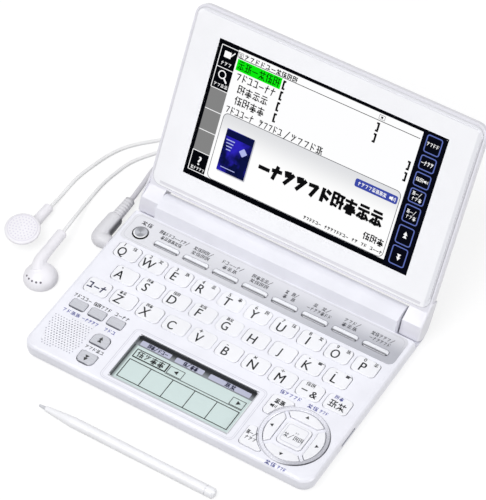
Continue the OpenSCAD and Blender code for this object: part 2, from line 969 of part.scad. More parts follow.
module pad_ring() {
    rise = key_top - ring_foot;
    color(silver)
        translate([pad_x, pad_y, ring_foot])
            rotate_extrude()
                polygon([[ring_in, 0], [ring_in, rise - 0.2], [ring_in + 0.2, rise],
                    [ring_out - 0.5, rise], [ring_out, rise - 0.4], [ring_out, 0]]);
}

module power_key() {
    color("silver")
        key_cap([power_x, power_y], 2 * power_r) {
            circle(power_r, $fn = 40);
            circle(power_r - key_edge, $fn = 40);
        }
}

module function_key(i) {
    color(silver)
        box_key(pill_places[i - 1], pill_w, pill_d, pill_r);
}

module letter_row(places) {
    color(key_white)
        for (p = places)
            box_key(p, key_w, key_d, key_r, $fn = 16);
}

module small_key(i) {
    color(silver)
        box_key(small_places[i - 1], small_w, small_d, 1);
}

module page_key(place, flip) {
    color(key_white)
        key_cap(place, page_w) {
            mirror([0, flip])
                page_outline(0, $fn = 24);
            mirror([0, flip])
                page_outline(-key_edge, $fn = 24);
        }
}

// Keys beside the pad have a hollow edge, so their top edge is a small step
module side_key_cap(side) {
    place = side > 0 ? side_places[0] : side_places[1];
    step = 0.15;
    color(key_white)
        translate([place[0], place[1], 0]) {
            translate([0, 0, key_base])
                linear_extrude(key_top - key_base - step)
                    side_outline(0, side);
            translate([0, 0, key_top - step - slice])
                linear_extrude(step + slice)
                    side_outline(-step, side);
            translate([-1.5, side * 1.5, 0])
                side_underside();
        }
}

// Ears and plunger of a key beside the pad, kept off its hollow edge
module side_underside() {
    translate([1.5 - side_key / 2 - key_gap - ear_w / 2, -ear_d / 2, key_base - ear_t])
        cube([side_key / 2, ear_d, ear_t + slice]);
    translate([0, 0, plunger_z])
        cylinder(r = plunger_r, h = key_base - plunger_z + slice, $fn = hull_fn);
}

module cursor_key(a) {
    color(key_white)
        translate([pad_x, pad_y, 0])
            rotate(a) {
                translate([0, 0, key_base])
                    linear_extrude(key_top - key_base - key_edge)
                        cursor_outline(0);
                hull() {
                    translate([0, 0, key_top - key_edge - slice])
                        linear_extrude(slice)
                            cursor_outline(0, $fn = 80);
                    translate([0, 0, key_top - slice])
                        linear_extrude(slice)
                            cursor_outline(-key_edge, $fn = 80);
                }
                translate([0, pad_reach, plunger_z])
                    cylinder(r = plunger_r, h = key_base - plunger_z + slice);
            }
}

// One level of the lid's outside form, drawn in by inset all round
module lid_level(z, inset) {
    d = lid_rear - front_y - 2 * inset;
    translate([0, (front_y + lid_rear) / 2, z])
        linear_extrude(slice)
            rounded(case_w - 2 * inset, d, corner_r - inset / 2, $fn = hull_fn);
}

// Section of a hinge arm: flush with the lid's back, round behind, creased below
module arm_section(shrink) {
    intersection() {
        union() {
            translate([axis_y, axis_z])
                circle(arm_r - shrink);
            translate([lid_rear - 5, axis_z - arm_r])
                square([axis_y - lid_rear + 5, lid_top - shrink - axis_z + arm_r]);
        }
        polygon([[lid_rear - 5, rim_z + shrink], [lid_rear, rim_z + shrink],
            [axis_y - 1.7, axis_z - 3.63 + shrink], [axis_y + arm_r, axis_z - 2.4 + shrink],
            [axis_y + arm_r, lid_top + 5], [lid_rear - 5, lid_top + 5]]);
    }
}

module lid_arm() {
    edge = 0.9;
    along_x(arm_in, arm_out - edge)
        arm_section(0);
    hull() {
        along_x(arm_out - edge - slice, arm_out - edge)
            arm_section(0, $fn = hull_fn);
        along_x(arm_out - edge * 0.3, arm_out - edge * 0.3 + slice)
            arm_section(edge * 0.3, $fn = hull_fn);
        along_x(arm_out - slice, arm_out)
            arm_section(edge, $fn = hull_fn);
    }
}

module lid_back_cover() {
    seam_w = case_w - 2 * lid_seam;
    seam_d = lid_rear - front_y - 2 * lid_seam;
    mid_y = (front_y + lid_rear) / 2;
    inside = lid_top - lid_skin;
    color(white)
        stand_open()
            difference() {
                union() {
                    hull() {
                        lid_level(rim_z, 0.35);
                        lid_level(rim_z + 0.6, 0);
                        lid_level(lid_top - 2, 0.15);
                        lid_level(lid_top - 0.7, 0.9);
                        lid_level(lid_top - slice, 2.4);
                    }
                    for (side = [0, 1])
                        mirror([side, 0, 0])
                            lid_arm();
                }
                translate([0, mid_y, 0])
                    plate(seam_w, seam_d, corner_r - lid_seam, rim_z - 1, bezel_back - rim_z + 1);
                translate([0, mid_y, 0])
                    plate(seam_w - 2, seam_d - 2, corner_r - lid_seam - 1, rim_z, inside - rim_z);
                for (side = [0, 1])
                    mirror([side, 0, 0])
                        bar_x(arm_in - 1, pin_in + pin_l + 0.5, axis_y, axis_z, pin_r + pin_fit);
            }
}

module lid_bezel() {
    mid_y = (front_y + lid_rear) / 2;
    seam = lid_seam + seam_gap;
    plateau_front = front_y + 2.6;
    plateau_rear = lid_rear - 3.8;
    color(silver)
        stand_open()
            difference() {
                union() {
                    translate([0, mid_y, 0])
                        plate(case_w - 2 * seam, lid_rear - front_y - 2 * seam, corner_r - seam,
                            rim_z, bezel_back - rim_z);
                    translate([0, (plateau_front + plateau_rear) / 2, 0])
                        plate(case_w - 2 * rim_w, plateau_rear - plateau_front, corner_r - rim_w, axis_z,
                            bezel_back - axis_z);
                }
                translate([glass_x, glass_rear - glass_d / 2, 0])
                    plate(glass_w + 2 * glass_fit, glass_d + 2 * glass_fit, 1, axis_z - 1, lid_t);
            }
}

module touch_panel() {
    color("black")
        stand_open()
            translate([glass_x, glass_rear - glass_d / 2, 0])
                plate(glass_w, glass_d, 0.8, bezel_back - glass_t, glass_t);
}

module main_display() {
    w = glass_w + 2 * display_edge;
    d = glass_d + 2 * display_edge;
    inside = lid_top - lid_skin;
    color(dark)
        stand_open()
            translate([glass_x, glass_rear - glass_d / 2, 0]) {
                plate(w, d, 1, bezel_back, display_t);
                // Pads that rest on the inside of the lid's back
                for (x = [-1, 1], y = [-1, 1])
                    translate([x * (w / 2 - display_pad_in), y * (d / 2 - display_pad_in), bezel_back + display_t - slice])
                        cylinder(r = display_pad_r, h = inside - bezel_back - display_t + slice);
            }
}

module stylus_barrel() {
    body_x = stylus_x + stylus_tip_l + stylus_cone_l;
    end_x = stylus_x + stylus_l;
    groove_x = end_x - stylus_collar;
    color(white)
        translate([0, stylus_y, stylus_r])
            rotate([0, 90, 0])
                rotate_extrude()
                    polygon([[0, stylus_x + stylus_tip_l], [stylus_tip_r + stylus_step, stylus_x + stylus_tip_l],
                        [stylus_r - stylus_step, body_x - stylus_neck_l], [stylus_r, body_x],
                        [stylus_r, groove_x], [stylus_r - stylus_groove, groove_x],
                        [stylus_r - stylus_groove, groove_x + stylus_groove_l], [stylus_r, groove_x + stylus_groove_l],
                        [stylus_r, end_x - stylus_edge], [stylus_r - stylus_edge, end_x], [0, end_x]]);
}

module stylus_tip() {
    color(silver)
        translate([0, stylus_y, stylus_r])
            rotate([0, 90, 0])
                rotate_extrude()
                    polygon([[0, stylus_x], [stylus_point_r, stylus_x], [stylus_point_r + 0.25, stylus_x + 0.4],
                        [stylus_tip_r, stylus_x + stylus_tip_l], [0, stylus_x + stylus_tip_l]]);
}

module plug_body() {
    elbow_r = 2.4;
    color(bud_white) {
        // Moulded grip, round-ended at the front
        translate([plug_x, plug_front + 2, jack_z])
            rotate([-90, 0, 0])
                cylinder(r = plug_r, h = plug_back - plug_front - 2.8);
        translate([plug_x, plug_front + 2, jack_z])
            rotate([90, 0, 0])
                cylinder(r1 = plug_r, r2 = plug_r - 1, h = 2);
        translate([plug_x, plug_back - 0.8, jack_z])
            rotate([-90, 0, 0])
                cylinder(r1 = plug_r, r2 = plug_r - 0.8, h = 0.8);
        // Sleeve over the lead
        translate([plug_x, plug_back - 1, jack_z])
            rotate([-90, 0, 0])
                cylinder(r1 = sleeve_r + 0.2, r2 = sleeve_r - 0.1, h = sleeve_l + 1);
        // Short leg towards the jack
        bar_x(plug_x, -half_w - plug_neck, jack_y, jack_z, elbow_r + 0.8);
        bar_x(plug_x, -half_w - plug_neck + 0.6, jack_y, jack_z, elbow_r);
    }
}

module plug_shank() {
    start = -half_w - plug_neck + 0.6;
    groove_r = shank_r - 0.25;
    color("gold")
        translate([start, jack_y, jack_z])
            rotate([0, 90, 0])
                rotate_extrude()
                    polygon([[0, 0], [shank_r, 0], [shank_r, shank_l - 5.2], [groove_r, shank_l - 5],
                        [shank_r, shank_l - 4.8], [shank_r, shank_l - 3.4], [groove_r - 0.3, shank_l - 2.6],
                        [shank_r - 0.1, shank_l - 1.6], [0.5, shank_l], [0, shank_l]]);
}

function unit(v) = v / norm(v);

// Point of a smooth curve through four neighbouring points, between the middle two
function curve_point(a, b, c, d, t) =
    0.5 * (2 * b + (c - a) * t + (2 * a - 5 * b + 4 * c - d) * t * t + (3 * b - a - 3 * c + d) * t * t * t);

// Smooth curve through the points of a route, in steps per stretch
function smooth_route(p, steps) = [
    for (i = [0:len(p) - 2], k = [0:steps - 1])
        curve_point(p[max(i - 1, 0)], p[i], p[i + 1], p[min(i + 2, len(p) - 1)], k / steps),
    p[len(p) - 1]
];

// Ring of points about a place on the tube's path, square to its direction
function tube_ring(centre, along, r, sides) =
    let (across = unit(cross([0, 0, 1], along)), up = cross(along, across))
    [for (k = [0:sides - 1]) centre + r * (cos(360 * k / sides) * across + sin(360 * k / sides) * up)];

// Direction of a path at its point i
function heading(p, i) = unit(p[min(i + 1, len(p) - 1)] - p[max(i - 1, 0)]);

// Round tube along a path, one closed skin of triangles
module tube(path, r, sides) {
    n = len(path);
    points = [for (i = [0:n - 1]) each tube_ring(path[i], heading(path, i), r, sides)];
    walls = [for (i = [0:n - 2], k = [0:sides - 1])
        let (a = i * sides + k, b = i * sides + (k + 1) % sides)
        each [[a, a + sides, b], [b, a + sides, b + sides]]];
    last = (n - 1) * sides;
    caps = [for (k = [1:sides - 2]) each [[0, k, k + 1], [last, last + k + 1, last + k]]];
    polyhedron(points = points, faces = concat(walls, caps), convexity = 10);
}

// Path of the coil: in along the upper layer, down inside, and out along the lower one
function coil_radius(turn) = turn < layer_turns ? coil_out - turn * coil_pitch
    : coil_inner + (turn - layer_turns) * coil_pitch;
function coil_fall(turn) = let (t = (turn - layer_turns + 0.25) * 2)
    t <= 0 ? 0 : t >= 1 ? 1 : (1 - cos(180 * t)) / 2;
function coil_point(turn) = [
    coil_x + coil_radius(turn) * sin(360 * turn),
    coil_y - coil_radius(turn) * cos(360 * turn),
    coil_high - coil_pitch * coil_fall(turn)
];
coil_count = 2 * layer_turns * coil_steps;
coil_turns = [for (i = [0:coil_count]) coil_point(i / coil_steps)];
coil_path = concat(
    [coil_turns[0] - [lead_dia, 0, 0]],
    coil_turns,
    [coil_turns[coil_count] + [coil_tail / 2, 0, 0], coil_turns[coil_count] + [coil_tail, 0, 0]]
);
function route_length(p) = [for (i = 0, s = 0; i < len(p); i = i + 1, s = s + (i < len(p) ? norm(p[i] - p[i - 1]) : 0)) s][len(p) - 1];
coil_gap = min([for (i = [0:coil_count], j = [0:coil_count])
    if (j - i > coil_steps / 2) norm(coil_turns[j] - coil_turns[i])]) - lead_dia;
lead_path = smooth_route(lead_route, 1);
bud1_path = smooth_route(bud1_route, 2);
bud2_path = smooth_route(bud2_route, 2);
echo(coil_gap = coil_gap, coil_length = route_length(coil_path), lead_length = route_length(lead_path),
    bud1_length = route_length(bud1_path), bud2_length = route_length(bud2_path));

module main_cord() {
    color(bud_white)
        tube(lead_path, lead_r, tube_sides);
}

module cord_coil() {
    color(bud_white)
        tube(coil_path, lead_r, coil_sides);
}

module cord_tie() {
    inner_x = coil_x - coil_out - lead_r - 0.6;
    inner_w = layer_turns * coil_pitch + lead_dia + 2;
    band_w = 5;
    opening = coil_high + lead_r + 0.3 - tie_t;
    color("white")
        translate([inner_x, coil_y, 0])
            rotate([90, 0, 0])
                translate([0, 0, -band_w / 2])
                    linear_extrude(band_w)
                        difference() {
                            translate([inner_w / 2, opening / 2 + tie_t])
                                rounded(inner_w + 2 * tie_t, opening + 2 * tie_t, 1);
                            translate([inner_w / 2, opening / 2 + tie_t])
                                rounded(inner_w, opening, 0.6);
                        }
}

module cord_split() {
    color(bud_white)
        translate([split_x, coil_end_y, coil_low])
            rotate([90, 0, 90])
                linear_extrude(split_l)
                    rounded(split_w, split_t, split_t / 2 - 0.05);
}

module branch_cords() {
    color(bud_white) {
        tube(bud1_path, branch_r, tube_sides);
        tube(bud2_path, branch_r, tube_sides);
    }
}

// Earbud shell standing on its domed back, with its stem towards +Y
module bud_shell() {
    dome_h = bud_h - cap_t;
    dome = [for (a = [0:15:90]) [2.2 + (bud_r - 2.5) * pow(cos(a), 0.7), dome_h * (1 - sin(a))]];
    difference() {
        union() {
            rotate_extrude()
                polygon(concat([[0, 0]], [for (i = [6:-1:0]) dome[i]], [[0, dome_h]]));
            translate([0, 0, stem_drop])
                rotate([-90, 0, 0])
                    cylinder(r1 = stem_root_r - 0.4, r2 = stem_r, h = stem_l);
        }
        translate([0, stem_l - stem_bore_l, stem_drop])
            rotate([-90, 0, 0])
                cylinder(r = stem_bore, h = stem_bore_l + 1);
        // Vents in the dome, opposite the stem
        for (a = [-36:18:36])
            rotate(a)
                translate([0, 2.2 - bud_r, 3.1])
                    rotate([35, 0, 0])
                        cylinder(r = vent_r, h = 3, center = true, $fn = 24);
        translate([-bud_dia, -bud_dia, -5])
            cube([2 * bud_dia, 3 * bud_dia, 5]);
    }
}

// Face of an earbud, crowned and drilled
module bud_cap() {
    rim_t = cap_t - cap_crown;
    hole_pitch = 1.5;
    difference() {
        translate([0, 0, bud_h - cap_t])
            rotate_extrude()
                polygon([[0, 0], [bud_r - 0.35, 0], [bud_r, 0.35], [bud_r, rim_t - 0.35], [bud_r - 0.35, rim_t],
                    [bud_r - 1.2, rim_t + 0.1], [bud_r * 0.5, cap_t - 0.1], [0, cap_t]]);
        for (i = [-3:3], j = [-3:3]) {
            x = (i + (j % 2 == 0 ? 0 : 0.5)) * hole_pitch;
            y = j * hole_pitch * 0.87;
            if (norm([x, y]) < bud_r - 2.6)
                translate([x, y, bud_h - cap_t + 0.3])
                    cylinder(d = 0.8, h = cap_t, $fn = 16);
        }
    }
}

// The first earbud lies face up, the second face down
module place_buds() {
    translate([bud1[0], bud1[1], 0])
        rotate(bud1_turn)
            children();
    translate([bud2[0], bud2[1], bud_h])
        rotate(bud2_turn)
            mirror([0, 0, 1])
                children();
}

module earbud_shells() {
    color(bud_white)
        place_buds()
            bud_shell();
}

module earbud_caps() {
    color("gainsboro")
        place_buds()
            bud_cap();
}

base_bottom_cover();
base_top_cover();
function_panel();
barrel_housing();
battery_cells();
battery_contacts();
battery_cover();
main_board();
key_sheet();
speaker();
speaker_grille();
sub_display();
sub_touch_sheet();
headphone_jack();
rubber_feet();
case_screws();
hinge_pins();
pad_ring();
power_key();
function_key(1);  // function_key_1
function_key(2);  // function_key_2
function_key(3);  // function_key_3
function_key(4);  // function_key_4
function_key(5);  // function_key_5
function_key(6);  // function_key_6
function_key(7);  // function_key_7
function_key(8);  // function_key_8
letter_row(upper_places);  // upper_letter_keys
letter_row(middle_places);  // middle_letter_keys
letter_row(lower_places);  // lower_letter_keys
letter_row([shift_place]);  // shift_key
letter_row([symbol_place]);  // symbol_key
letter_row([delete_place]);  // delete_key
small_key(1);  // small_key_1
small_key(2);  // small_key_2
small_key(3);  // small_key_3
page_key(page_places[0], 0);  // page_up_key
page_key(page_places[1], 1);  // page_down_key
side_key_cap(1);  // voice_key
side_key_cap(-1);  // back_key
cursor_key(0);  // cursor_up_key
cursor_key(270);  // cursor_right_key
cursor_key(180);  // cursor_down_key
cursor_key(90);  // cursor_left_key
color(silver) box_key([pad_x, pad_y], enter_w, enter_w, 2);  // enter_key
lid_back_cover();
lid_bezel();
main_display();
touch_panel();
stylus_barrel();
stylus_tip();
plug_body();
plug_shank();
main_cord();
cord_coil();
cord_tie();
cord_split();
branch_cords();
earbud_shells();
earbud_caps();
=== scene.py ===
"""Looks of a clamshell electronic dictionary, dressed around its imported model.

Lengths are in metres, in the object's own frame: +X to the user's right, +Y to the rear, +Z up,
with the origin on the desk under the centre of the base. Small sizes are written in millimetres
and multiplied by MM.
"""

from __future__ import annotations

import json
import logging
import math
from collections.abc import Sequence
from dataclasses import dataclass, field, replace
from enum import Enum

import bmesh
import bpy
from mathutils import Matrix, Vector

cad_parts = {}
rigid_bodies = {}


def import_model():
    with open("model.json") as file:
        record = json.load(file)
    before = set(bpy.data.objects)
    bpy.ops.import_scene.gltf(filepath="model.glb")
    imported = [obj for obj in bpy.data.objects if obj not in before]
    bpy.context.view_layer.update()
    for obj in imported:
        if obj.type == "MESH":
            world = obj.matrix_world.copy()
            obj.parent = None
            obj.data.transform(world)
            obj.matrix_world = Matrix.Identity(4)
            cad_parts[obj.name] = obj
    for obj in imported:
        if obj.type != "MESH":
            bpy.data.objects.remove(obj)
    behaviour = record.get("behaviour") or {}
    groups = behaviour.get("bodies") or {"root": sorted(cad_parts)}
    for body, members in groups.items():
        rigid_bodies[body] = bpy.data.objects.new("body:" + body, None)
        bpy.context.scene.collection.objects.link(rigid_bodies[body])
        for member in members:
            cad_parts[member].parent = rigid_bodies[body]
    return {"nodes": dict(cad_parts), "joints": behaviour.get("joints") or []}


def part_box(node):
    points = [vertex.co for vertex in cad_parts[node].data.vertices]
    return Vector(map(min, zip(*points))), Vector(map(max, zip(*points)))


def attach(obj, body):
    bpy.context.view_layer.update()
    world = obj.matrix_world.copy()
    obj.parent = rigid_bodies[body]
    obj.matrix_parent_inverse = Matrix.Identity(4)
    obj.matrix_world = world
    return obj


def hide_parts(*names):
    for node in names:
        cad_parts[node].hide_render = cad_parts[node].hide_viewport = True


LOG = logging.getLogger("dictionary")
MM = 0.001
X_AXIS = Vector((1, 0, 0))
Y_AXIS = Vector((0, 1, 0))
Z_AXIS = Vector((0, 0, 1))
CLOUDS = (0.3, 0.7)
GRAIN = (0.2, 0.8)
NO_STRETCH = (1, 1, 1)
SKIN = 0.35 * MM
SKIN_DEPTH = 0.004 * MM
UNLIT = (0.002, 0.002, 0.002)

Colour = tuple[float, float, float]
Point = tuple[float, float, float]
Pair = tuple[float, float]
Piece = bpy.types.Object


def shade(red: int, green: int, blue: int) -> Colour:
    """Linear colour of three display values.

    Args:
        red: Red from 0 to 255.
        green: Green from 0 to 255.
        blue: Blue from 0 to 255.

    Returns:
        The colour as light.
    """

    def linear(value: int) -> float:
        """One display value as linear light."""
        part = value / 255
        return part / 12.92 if part <= 0.04045 else ((part + 0.055) / 1.055) ** 2.4

    return linear(red), linear(green), linear(blue)


@dataclass(frozen=True)
class Term:
    """Value in a material's graph, which Python's operators work on."""

    graph: Graph
    socket: bpy.types.NodeSocket

    def __add__(self, other: Term | float) -> Term:
        """Sum of two values."""
        return self.graph.maths("ADD", self, other)

    __radd__ = __add__

    def __sub__(self, other: Term | float) -> Term:
        """This value less the other."""
        return self.graph.maths("SUBTRACT", self, other)

    def __rsub__(self, other: Term | float) -> Term:
        """The other value less this one."""
        return self.graph.maths("SUBTRACT", other, self)

    def __mul__(self, other: Term | float) -> Term:
        """Product of two values."""
        return self.graph.maths("MULTIPLY", self, other)

    __rmul__ = __mul__

    def __truediv__(self, other: Term | float) -> Term:
        """This value divided by the other."""
        return self.graph.maths("DIVIDE", self, other)

    def __rtruediv__(self, other: Term | float) -> Term:
        """The other value divided by this one."""
        return self.graph.maths("DIVIDE", other, self)

    def __pow__(self, other: Term | float) -> Term:
        """This value to a power."""
        return self.graph.maths("POWER", self, other)

    def __rpow__(self, other: Term | float) -> Term:
        """The other value to the power of this one."""
        return self.graph.maths("POWER", other, self)


class Graph:
    """Node graph of one material or world, with one method that makes its nodes."""

    def __init__(self, name: str, kind: str = "materials") -> None:
        """Starts an empty graph.

        Args:
            name: Name of its new owner.
            kind: Kind of the owner, "materials" or "worlds".
        """
        self.owner = getattr(bpy.data, kind).new(name)
        self.owner.use_nodes = True
        self.tree = self.owner.node_tree
        self.tree.nodes.clear()

    def node(self, kind: str, inputs: dict[str | int, object] | None = None, **settings: object) -> bpy.types.Node:
        """Makes a node.

        Args:
            kind: Blender's name of the node type.
            inputs: Value or Term for each input, by name or number.
            settings: Properties of the node.

        Returns:
            The node.
        """
        made = self.tree.nodes.new(kind)
        for key, value in settings.items():
            setattr(made, key, value)
        for key, value in (inputs or {}).items():
            if isinstance(value, Term):
                self.tree.links.new(value.socket, made.inputs[key])
            else:
                made.inputs[key].default_value = value
        return made

    def maths(self, operation: str, *values: Term | float) -> Term:
        """One step of arithmetic on terms and numbers."""
        made = self.node("ShaderNodeMath", dict(enumerate(values)), operation=operation)
        return Term(self, made.outputs[0])

    def place(self, stretch: Sequence[float] = NO_STRETCH) -> Term:
        """Place on the object, in its own coordinates.

        Args:
            stretch: Factor along each axis.

        Returns:
            The place as a vector.
        """
        point = Term(self, self.node("ShaderNodeTexCoord").outputs["Object"])
        mapping = self.node("ShaderNodeMapping", {"Vector": point, "Scale": stretch})
        return Term(self, mapping.outputs[0])

    def noise(self, size: float, detail: float = 2, stretch: Sequence[float] = NO_STRETCH) -> Term:
        """Cloudy value about 0.5, whose blobs are about size metres across."""
        inputs = {"Vector": self.place(stretch), "Scale": 1 / size, "Detail": detail, "Roughness": 0.55}
        return Term(self, self.node("ShaderNodeTexNoise", inputs).outputs[0])

    def along(self, axis: int, stretch: float = 1) -> Term:
        """Coordinate along one axis of the object, in metres times stretch."""
        parts = self.node("ShaderNodeSeparateXYZ", {0: self.place((stretch,) * 3)})
        return Term(self, parts.outputs[axis])

    def ramp(self, value: Term, low: float, high: float, start: float = 0, end: float = 1) -> Term:
        """Smooth step between two values, held outside.

        Args:
            value: What the step follows.
            low: Value at which it begins.
            high: Value at which it ends.
            start: Result up to low.
            end: Result from high on.

        Returns:
            The stepped value.
        """
        inputs = {"Value": value, "From Min": low, "From Max": high, "To Min": start, "To Max": end}
        made = self.node("ShaderNodeMapRange", inputs, interpolation_type="SMOOTHSTEP")
        return Term(self, made.outputs[0])

    def mix(self, share: Term, low: Colour | Term, high: Colour | Term) -> Term:
        """Colour between two.

        Args:
            share: 0 for the low colour to 1 for the high one.
            low: First colour.
            high: Second colour.

        Returns:
            The mixed colour.
        """
        ends = [value if isinstance(value, Term) else (*value, 1) for value in (low, high)]
        made = self.node("ShaderNodeMix", {0: share, 6: ends[0], 7: ends[1]}, data_type="RGBA")
        return Term(self, made.outputs[2])

    def bump(self, height: Term, depth: float) -> Term:
        """Surface direction over hills of that depth in metres."""
        made = self.node("ShaderNodeBump", {"Height": height, "Distance": depth, "Strength": 1})
        return Term(self, made.outputs[0])

    def radius(self, middle: Pair) -> tuple[Term, Term, Term]:
        """Metres to the right of an upright axis, to the rear of it and away from it."""
        across, back = self.along(0) - middle[0], self.along(1) - middle[1]
        return across, back, (across * across + back * back) ** 0.5

    def printed(self, colour: Term) -> bpy.types.Material:
        """Ends the graph in the surface of a print."""
        return self.surface(Base_Color=colour, Roughness=0.45, Specular_IOR_Level=0.3)

    def lit(self, colour: Term, strength: float) -> bpy.types.Material:
        """Ends the graph in a lit picture."""
        dark = {"Base_Color": UNLIT, "Roughness": 0.6, "Specular_IOR_Level": 0.0}
        return self.surface(**dark, Emission_Color=colour, Emission_Strength=strength)

    def surface(self, **values: object) -> bpy.types.Material:
        """Ends the graph in a surface.

        Args:
            values: Value or Term for each input, with underscores for the spaces in its name.

        Returns:
            The finished material.
        """
        inputs = {key.replace("_", " "): value for key, value in values.items()}
        for key, value in inputs.items():
            if isinstance(value, tuple) and len(value) == 3:
                inputs[key] = (*value, 1)
        shader = self.node("ShaderNodeBsdfPrincipled", inputs)
        output = self.node("ShaderNodeOutputMaterial")
        self.tree.links.new(shader.outputs[0], output.inputs[0])
        return self.owner


@dataclass(frozen=True)
class Moulding:
    """Moulded plastic or rubber, with faint flow marks and a fine skin."""

    name: str
    colour: Colour
    roughness: float = 0.35
    coat: float = 0.0
    drift: float = 0.03
    skin: float = SKIN
    depth: float = SKIN_DEPTH
    sheen: float = 0.0
    flow: float = 18 * MM

    def material(self) -> bpy.types.Material:
        """Material of this plastic.

        Returns:
            The material.
        """
        graph = Graph(self.name)
        flow = graph.noise(self.flow, 3)
        skin = graph.noise(self.skin, 2)
        darker = tuple(part * (1 - 2 * self.drift) for part in self.colour)
        return graph.surface(
            Base_Color=graph.mix(graph.ramp(flow, *CLOUDS), darker, self.colour),
            Roughness=graph.ramp(skin, *GRAIN, self.roughness * 0.9, self.roughness * 1.1),
            Coat_Weight=self.coat,
            Coat_Roughness=0.08,
            Sheen_Weight=self.sheen,
            Normal=graph.bump(skin, self.depth),
        )


@dataclass(frozen=True)
class BrushedMetal:
    """Metal or metal paint with fine lines along X, with a painted reflection and highlight if a far colour is
    given.
    """

    name: str
    colour: Colour
    metallic: float = 1.0
    roughness: float = 0.3
    line: float = 0.12 * MM
    depth: float = 0.003 * MM
    far_colour: Colour | None = None
    reach: float = 75 * MM
    rear: float = math.inf
    rear_highlight_fade: float = 10 * MM
    cloud: float = 25 * MM

    def material(self) -> bpy.types.Material:
        """Material of this metal, which turns to the far colour toward the right as painted reflection if there is
        one.

        Returns:
            The material.
        """
        graph = Graph(self.name)
        lines = graph.noise(self.line, 2, (0.03, 1, 1))
        cloud = graph.noise(self.cloud, 2)
        # Painted reflection: toward the right the colour turns to the far colour; along the rear edge it turns
        # back, a painted highlight.
        across = graph.ramp(graph.along(0), -self.reach, self.reach)
        if self.rear < math.inf:
            across = across * graph.ramp(graph.along(1), self.rear - self.rear_highlight_fade, self.rear, 1, 0.15)
        colour = graph.mix(across, self.colour, self.far_colour or self.colour)
        grain = graph.ramp(lines * 0.6 + cloud * 0.4, *CLOUDS, 0.06, 0)
        return graph.surface(
            Base_Color=graph.mix(grain, colour, (0.0, 0.0, 0.0)),
            Metallic=self.metallic,
            Roughness=graph.ramp(lines, *GRAIN, self.roughness * 0.8, self.roughness * 1.2),
            Normal=graph.bump(lines, self.depth),
        )


@dataclass(frozen=True)
class Glazing:
    """Smooth dark glass or film with a few faint smears."""

    name: str
    colour: Colour
    roughness: float = 0.25
    specular: float = 0.004
    smear: float = 9 * MM

    def material(self) -> bpy.types.Material:
        """Material of this glass.

        Returns:
            The material.
        """
        graph = Graph(self.name)
        smears = graph.noise(self.smear, 4)
        lighter = tuple(part + 0.0005 for part in self.colour)
        return graph.surface(
            Base_Color=graph.mix(smears, self.colour, lighter),
            Roughness=graph.ramp(smears, 0.35, 0.75, self.roughness, self.roughness * 1.6),
            Specular_IOR_Level=self.specular,
        )


@dataclass(frozen=True)
class InkAndPaintedLight:
    """Flat colour, a little uneven in strength: printed ink, and on some marks painted shade and light."""

    name: str
    colour: Colour
    fade: float = 0.12
    speck: float = 0.5 * MM

    def material(self) -> bpy.types.Material:
        """Material of this ink.

        Returns:
            The material.
        """
        graph = Graph(self.name)
        strength = graph.noise(self.speck, 2)
        faded = tuple(part + (0.8 - part) * self.fade for part in self.colour)
        return graph.printed(graph.mix(graph.ramp(strength, 0.35, 0.8), self.colour, faded))


@dataclass(frozen=True)
class Glow:
    """Lit picture on a display, with a fine grid of picture cells."""

    name: str
    colour: Colour
    far_colour: Colour | None = None
    near_s: float = 0.0
    far_s: float = 1.0
    strength: float = 1.0
    cell: float = 0.24 * MM

    def material(self) -> bpy.types.Material:
        """Material of this part of the picture.

        Returns:
            The material.
        """
        graph = Graph(self.name)
        cells = graph.maths("SINE", graph.along(0, math.tau / self.cell))
        share = graph.ramp(graph.along(2), self.near_s, self.far_s)
        colour = graph.mix(share, self.colour, self.far_colour or self.colour)
        dim = tuple(part * 0.97 for part in self.colour)
        return graph.lit(graph.mix(graph.ramp(cells, 0.7, 1, 0, 0.3), colour, dim), self.strength)


@dataclass(frozen=True)
class ShadedInk:
    """Flat mark that turns from one colour to another along one axis, for painted shadow alone or over a printed
    colour.
    """

    name: str
    colour: Colour
    far_colour: Colour
    axis: int
    start: float
    end: float
    speck: float = 0.5 * MM

    def material(self) -> bpy.types.Material:
        """Material of this mark.

        Returns:
            The material.
        """
        graph = Graph(self.name)
        speck = graph.noise(self.speck, 2)
        place = graph.along(self.axis) + (speck - 0.5) * (self.end - self.start) * 0.1
        share = graph.ramp(place, self.start, self.end)
        return graph.printed(graph.mix(share, self.colour, self.far_colour))


@dataclass(frozen=True)
class ShadedGrip:
    """Soft plastic of a plug's grip, with painted shade along the flank that is turned to the case."""

    name: str
    colour: Colour
    dark: Colour
    flank: Pair
    start: float
    reach: float = 2 * MM

    def material(self) -> bpy.types.Material:
        """Material of this grip.

        Returns:
            The material.
        """
        graph = Graph(self.name)
        skin = graph.noise(SKIN, 2)
        # Painted shade on the right flank, from start on toward the rear.
        behind = graph.ramp(graph.along(1), self.start, self.start + self.reach)
        share = graph.ramp(graph.along(0), *self.flank) * behind
        return graph.surface(
            Base_Color=graph.mix(share, self.colour, self.dark),
            Roughness=graph.ramp(skin, *GRAIN, 0.4, 0.5),
            Normal=graph.bump(skin, SKIN_DEPTH),
        )


@dataclass(frozen=True)
class Reflective:
    """Unlit liquid crystal display, seen by the light that falls on it."""

    name: str
    colour: Colour
    cell: float = 0.3 * MM
    cloud: float = 4 * MM

    def material(self) -> bpy.types.Material:
        """Material of this part of the display.

        Returns:
            The material.
        """
        graph = Graph(self.name)
        across = graph.maths("SINE", graph.along(0, math.tau / self.cell))
        up = graph.maths("SINE", graph.along(1, math.tau / self.cell))
        grid = graph.ramp(graph.maths("MAXIMUM", across, up), 0.8, 1, 0, 0.12)
        darker = tuple(part * 0.8 for part in self.colour)
        return graph.surface(
            Base_Color=graph.mix(grid + graph.noise(self.cloud, 2) * 0.1, self.colour, darker),
            Roughness=0.35,
            Specular_IOR_Level=0.4,
        )


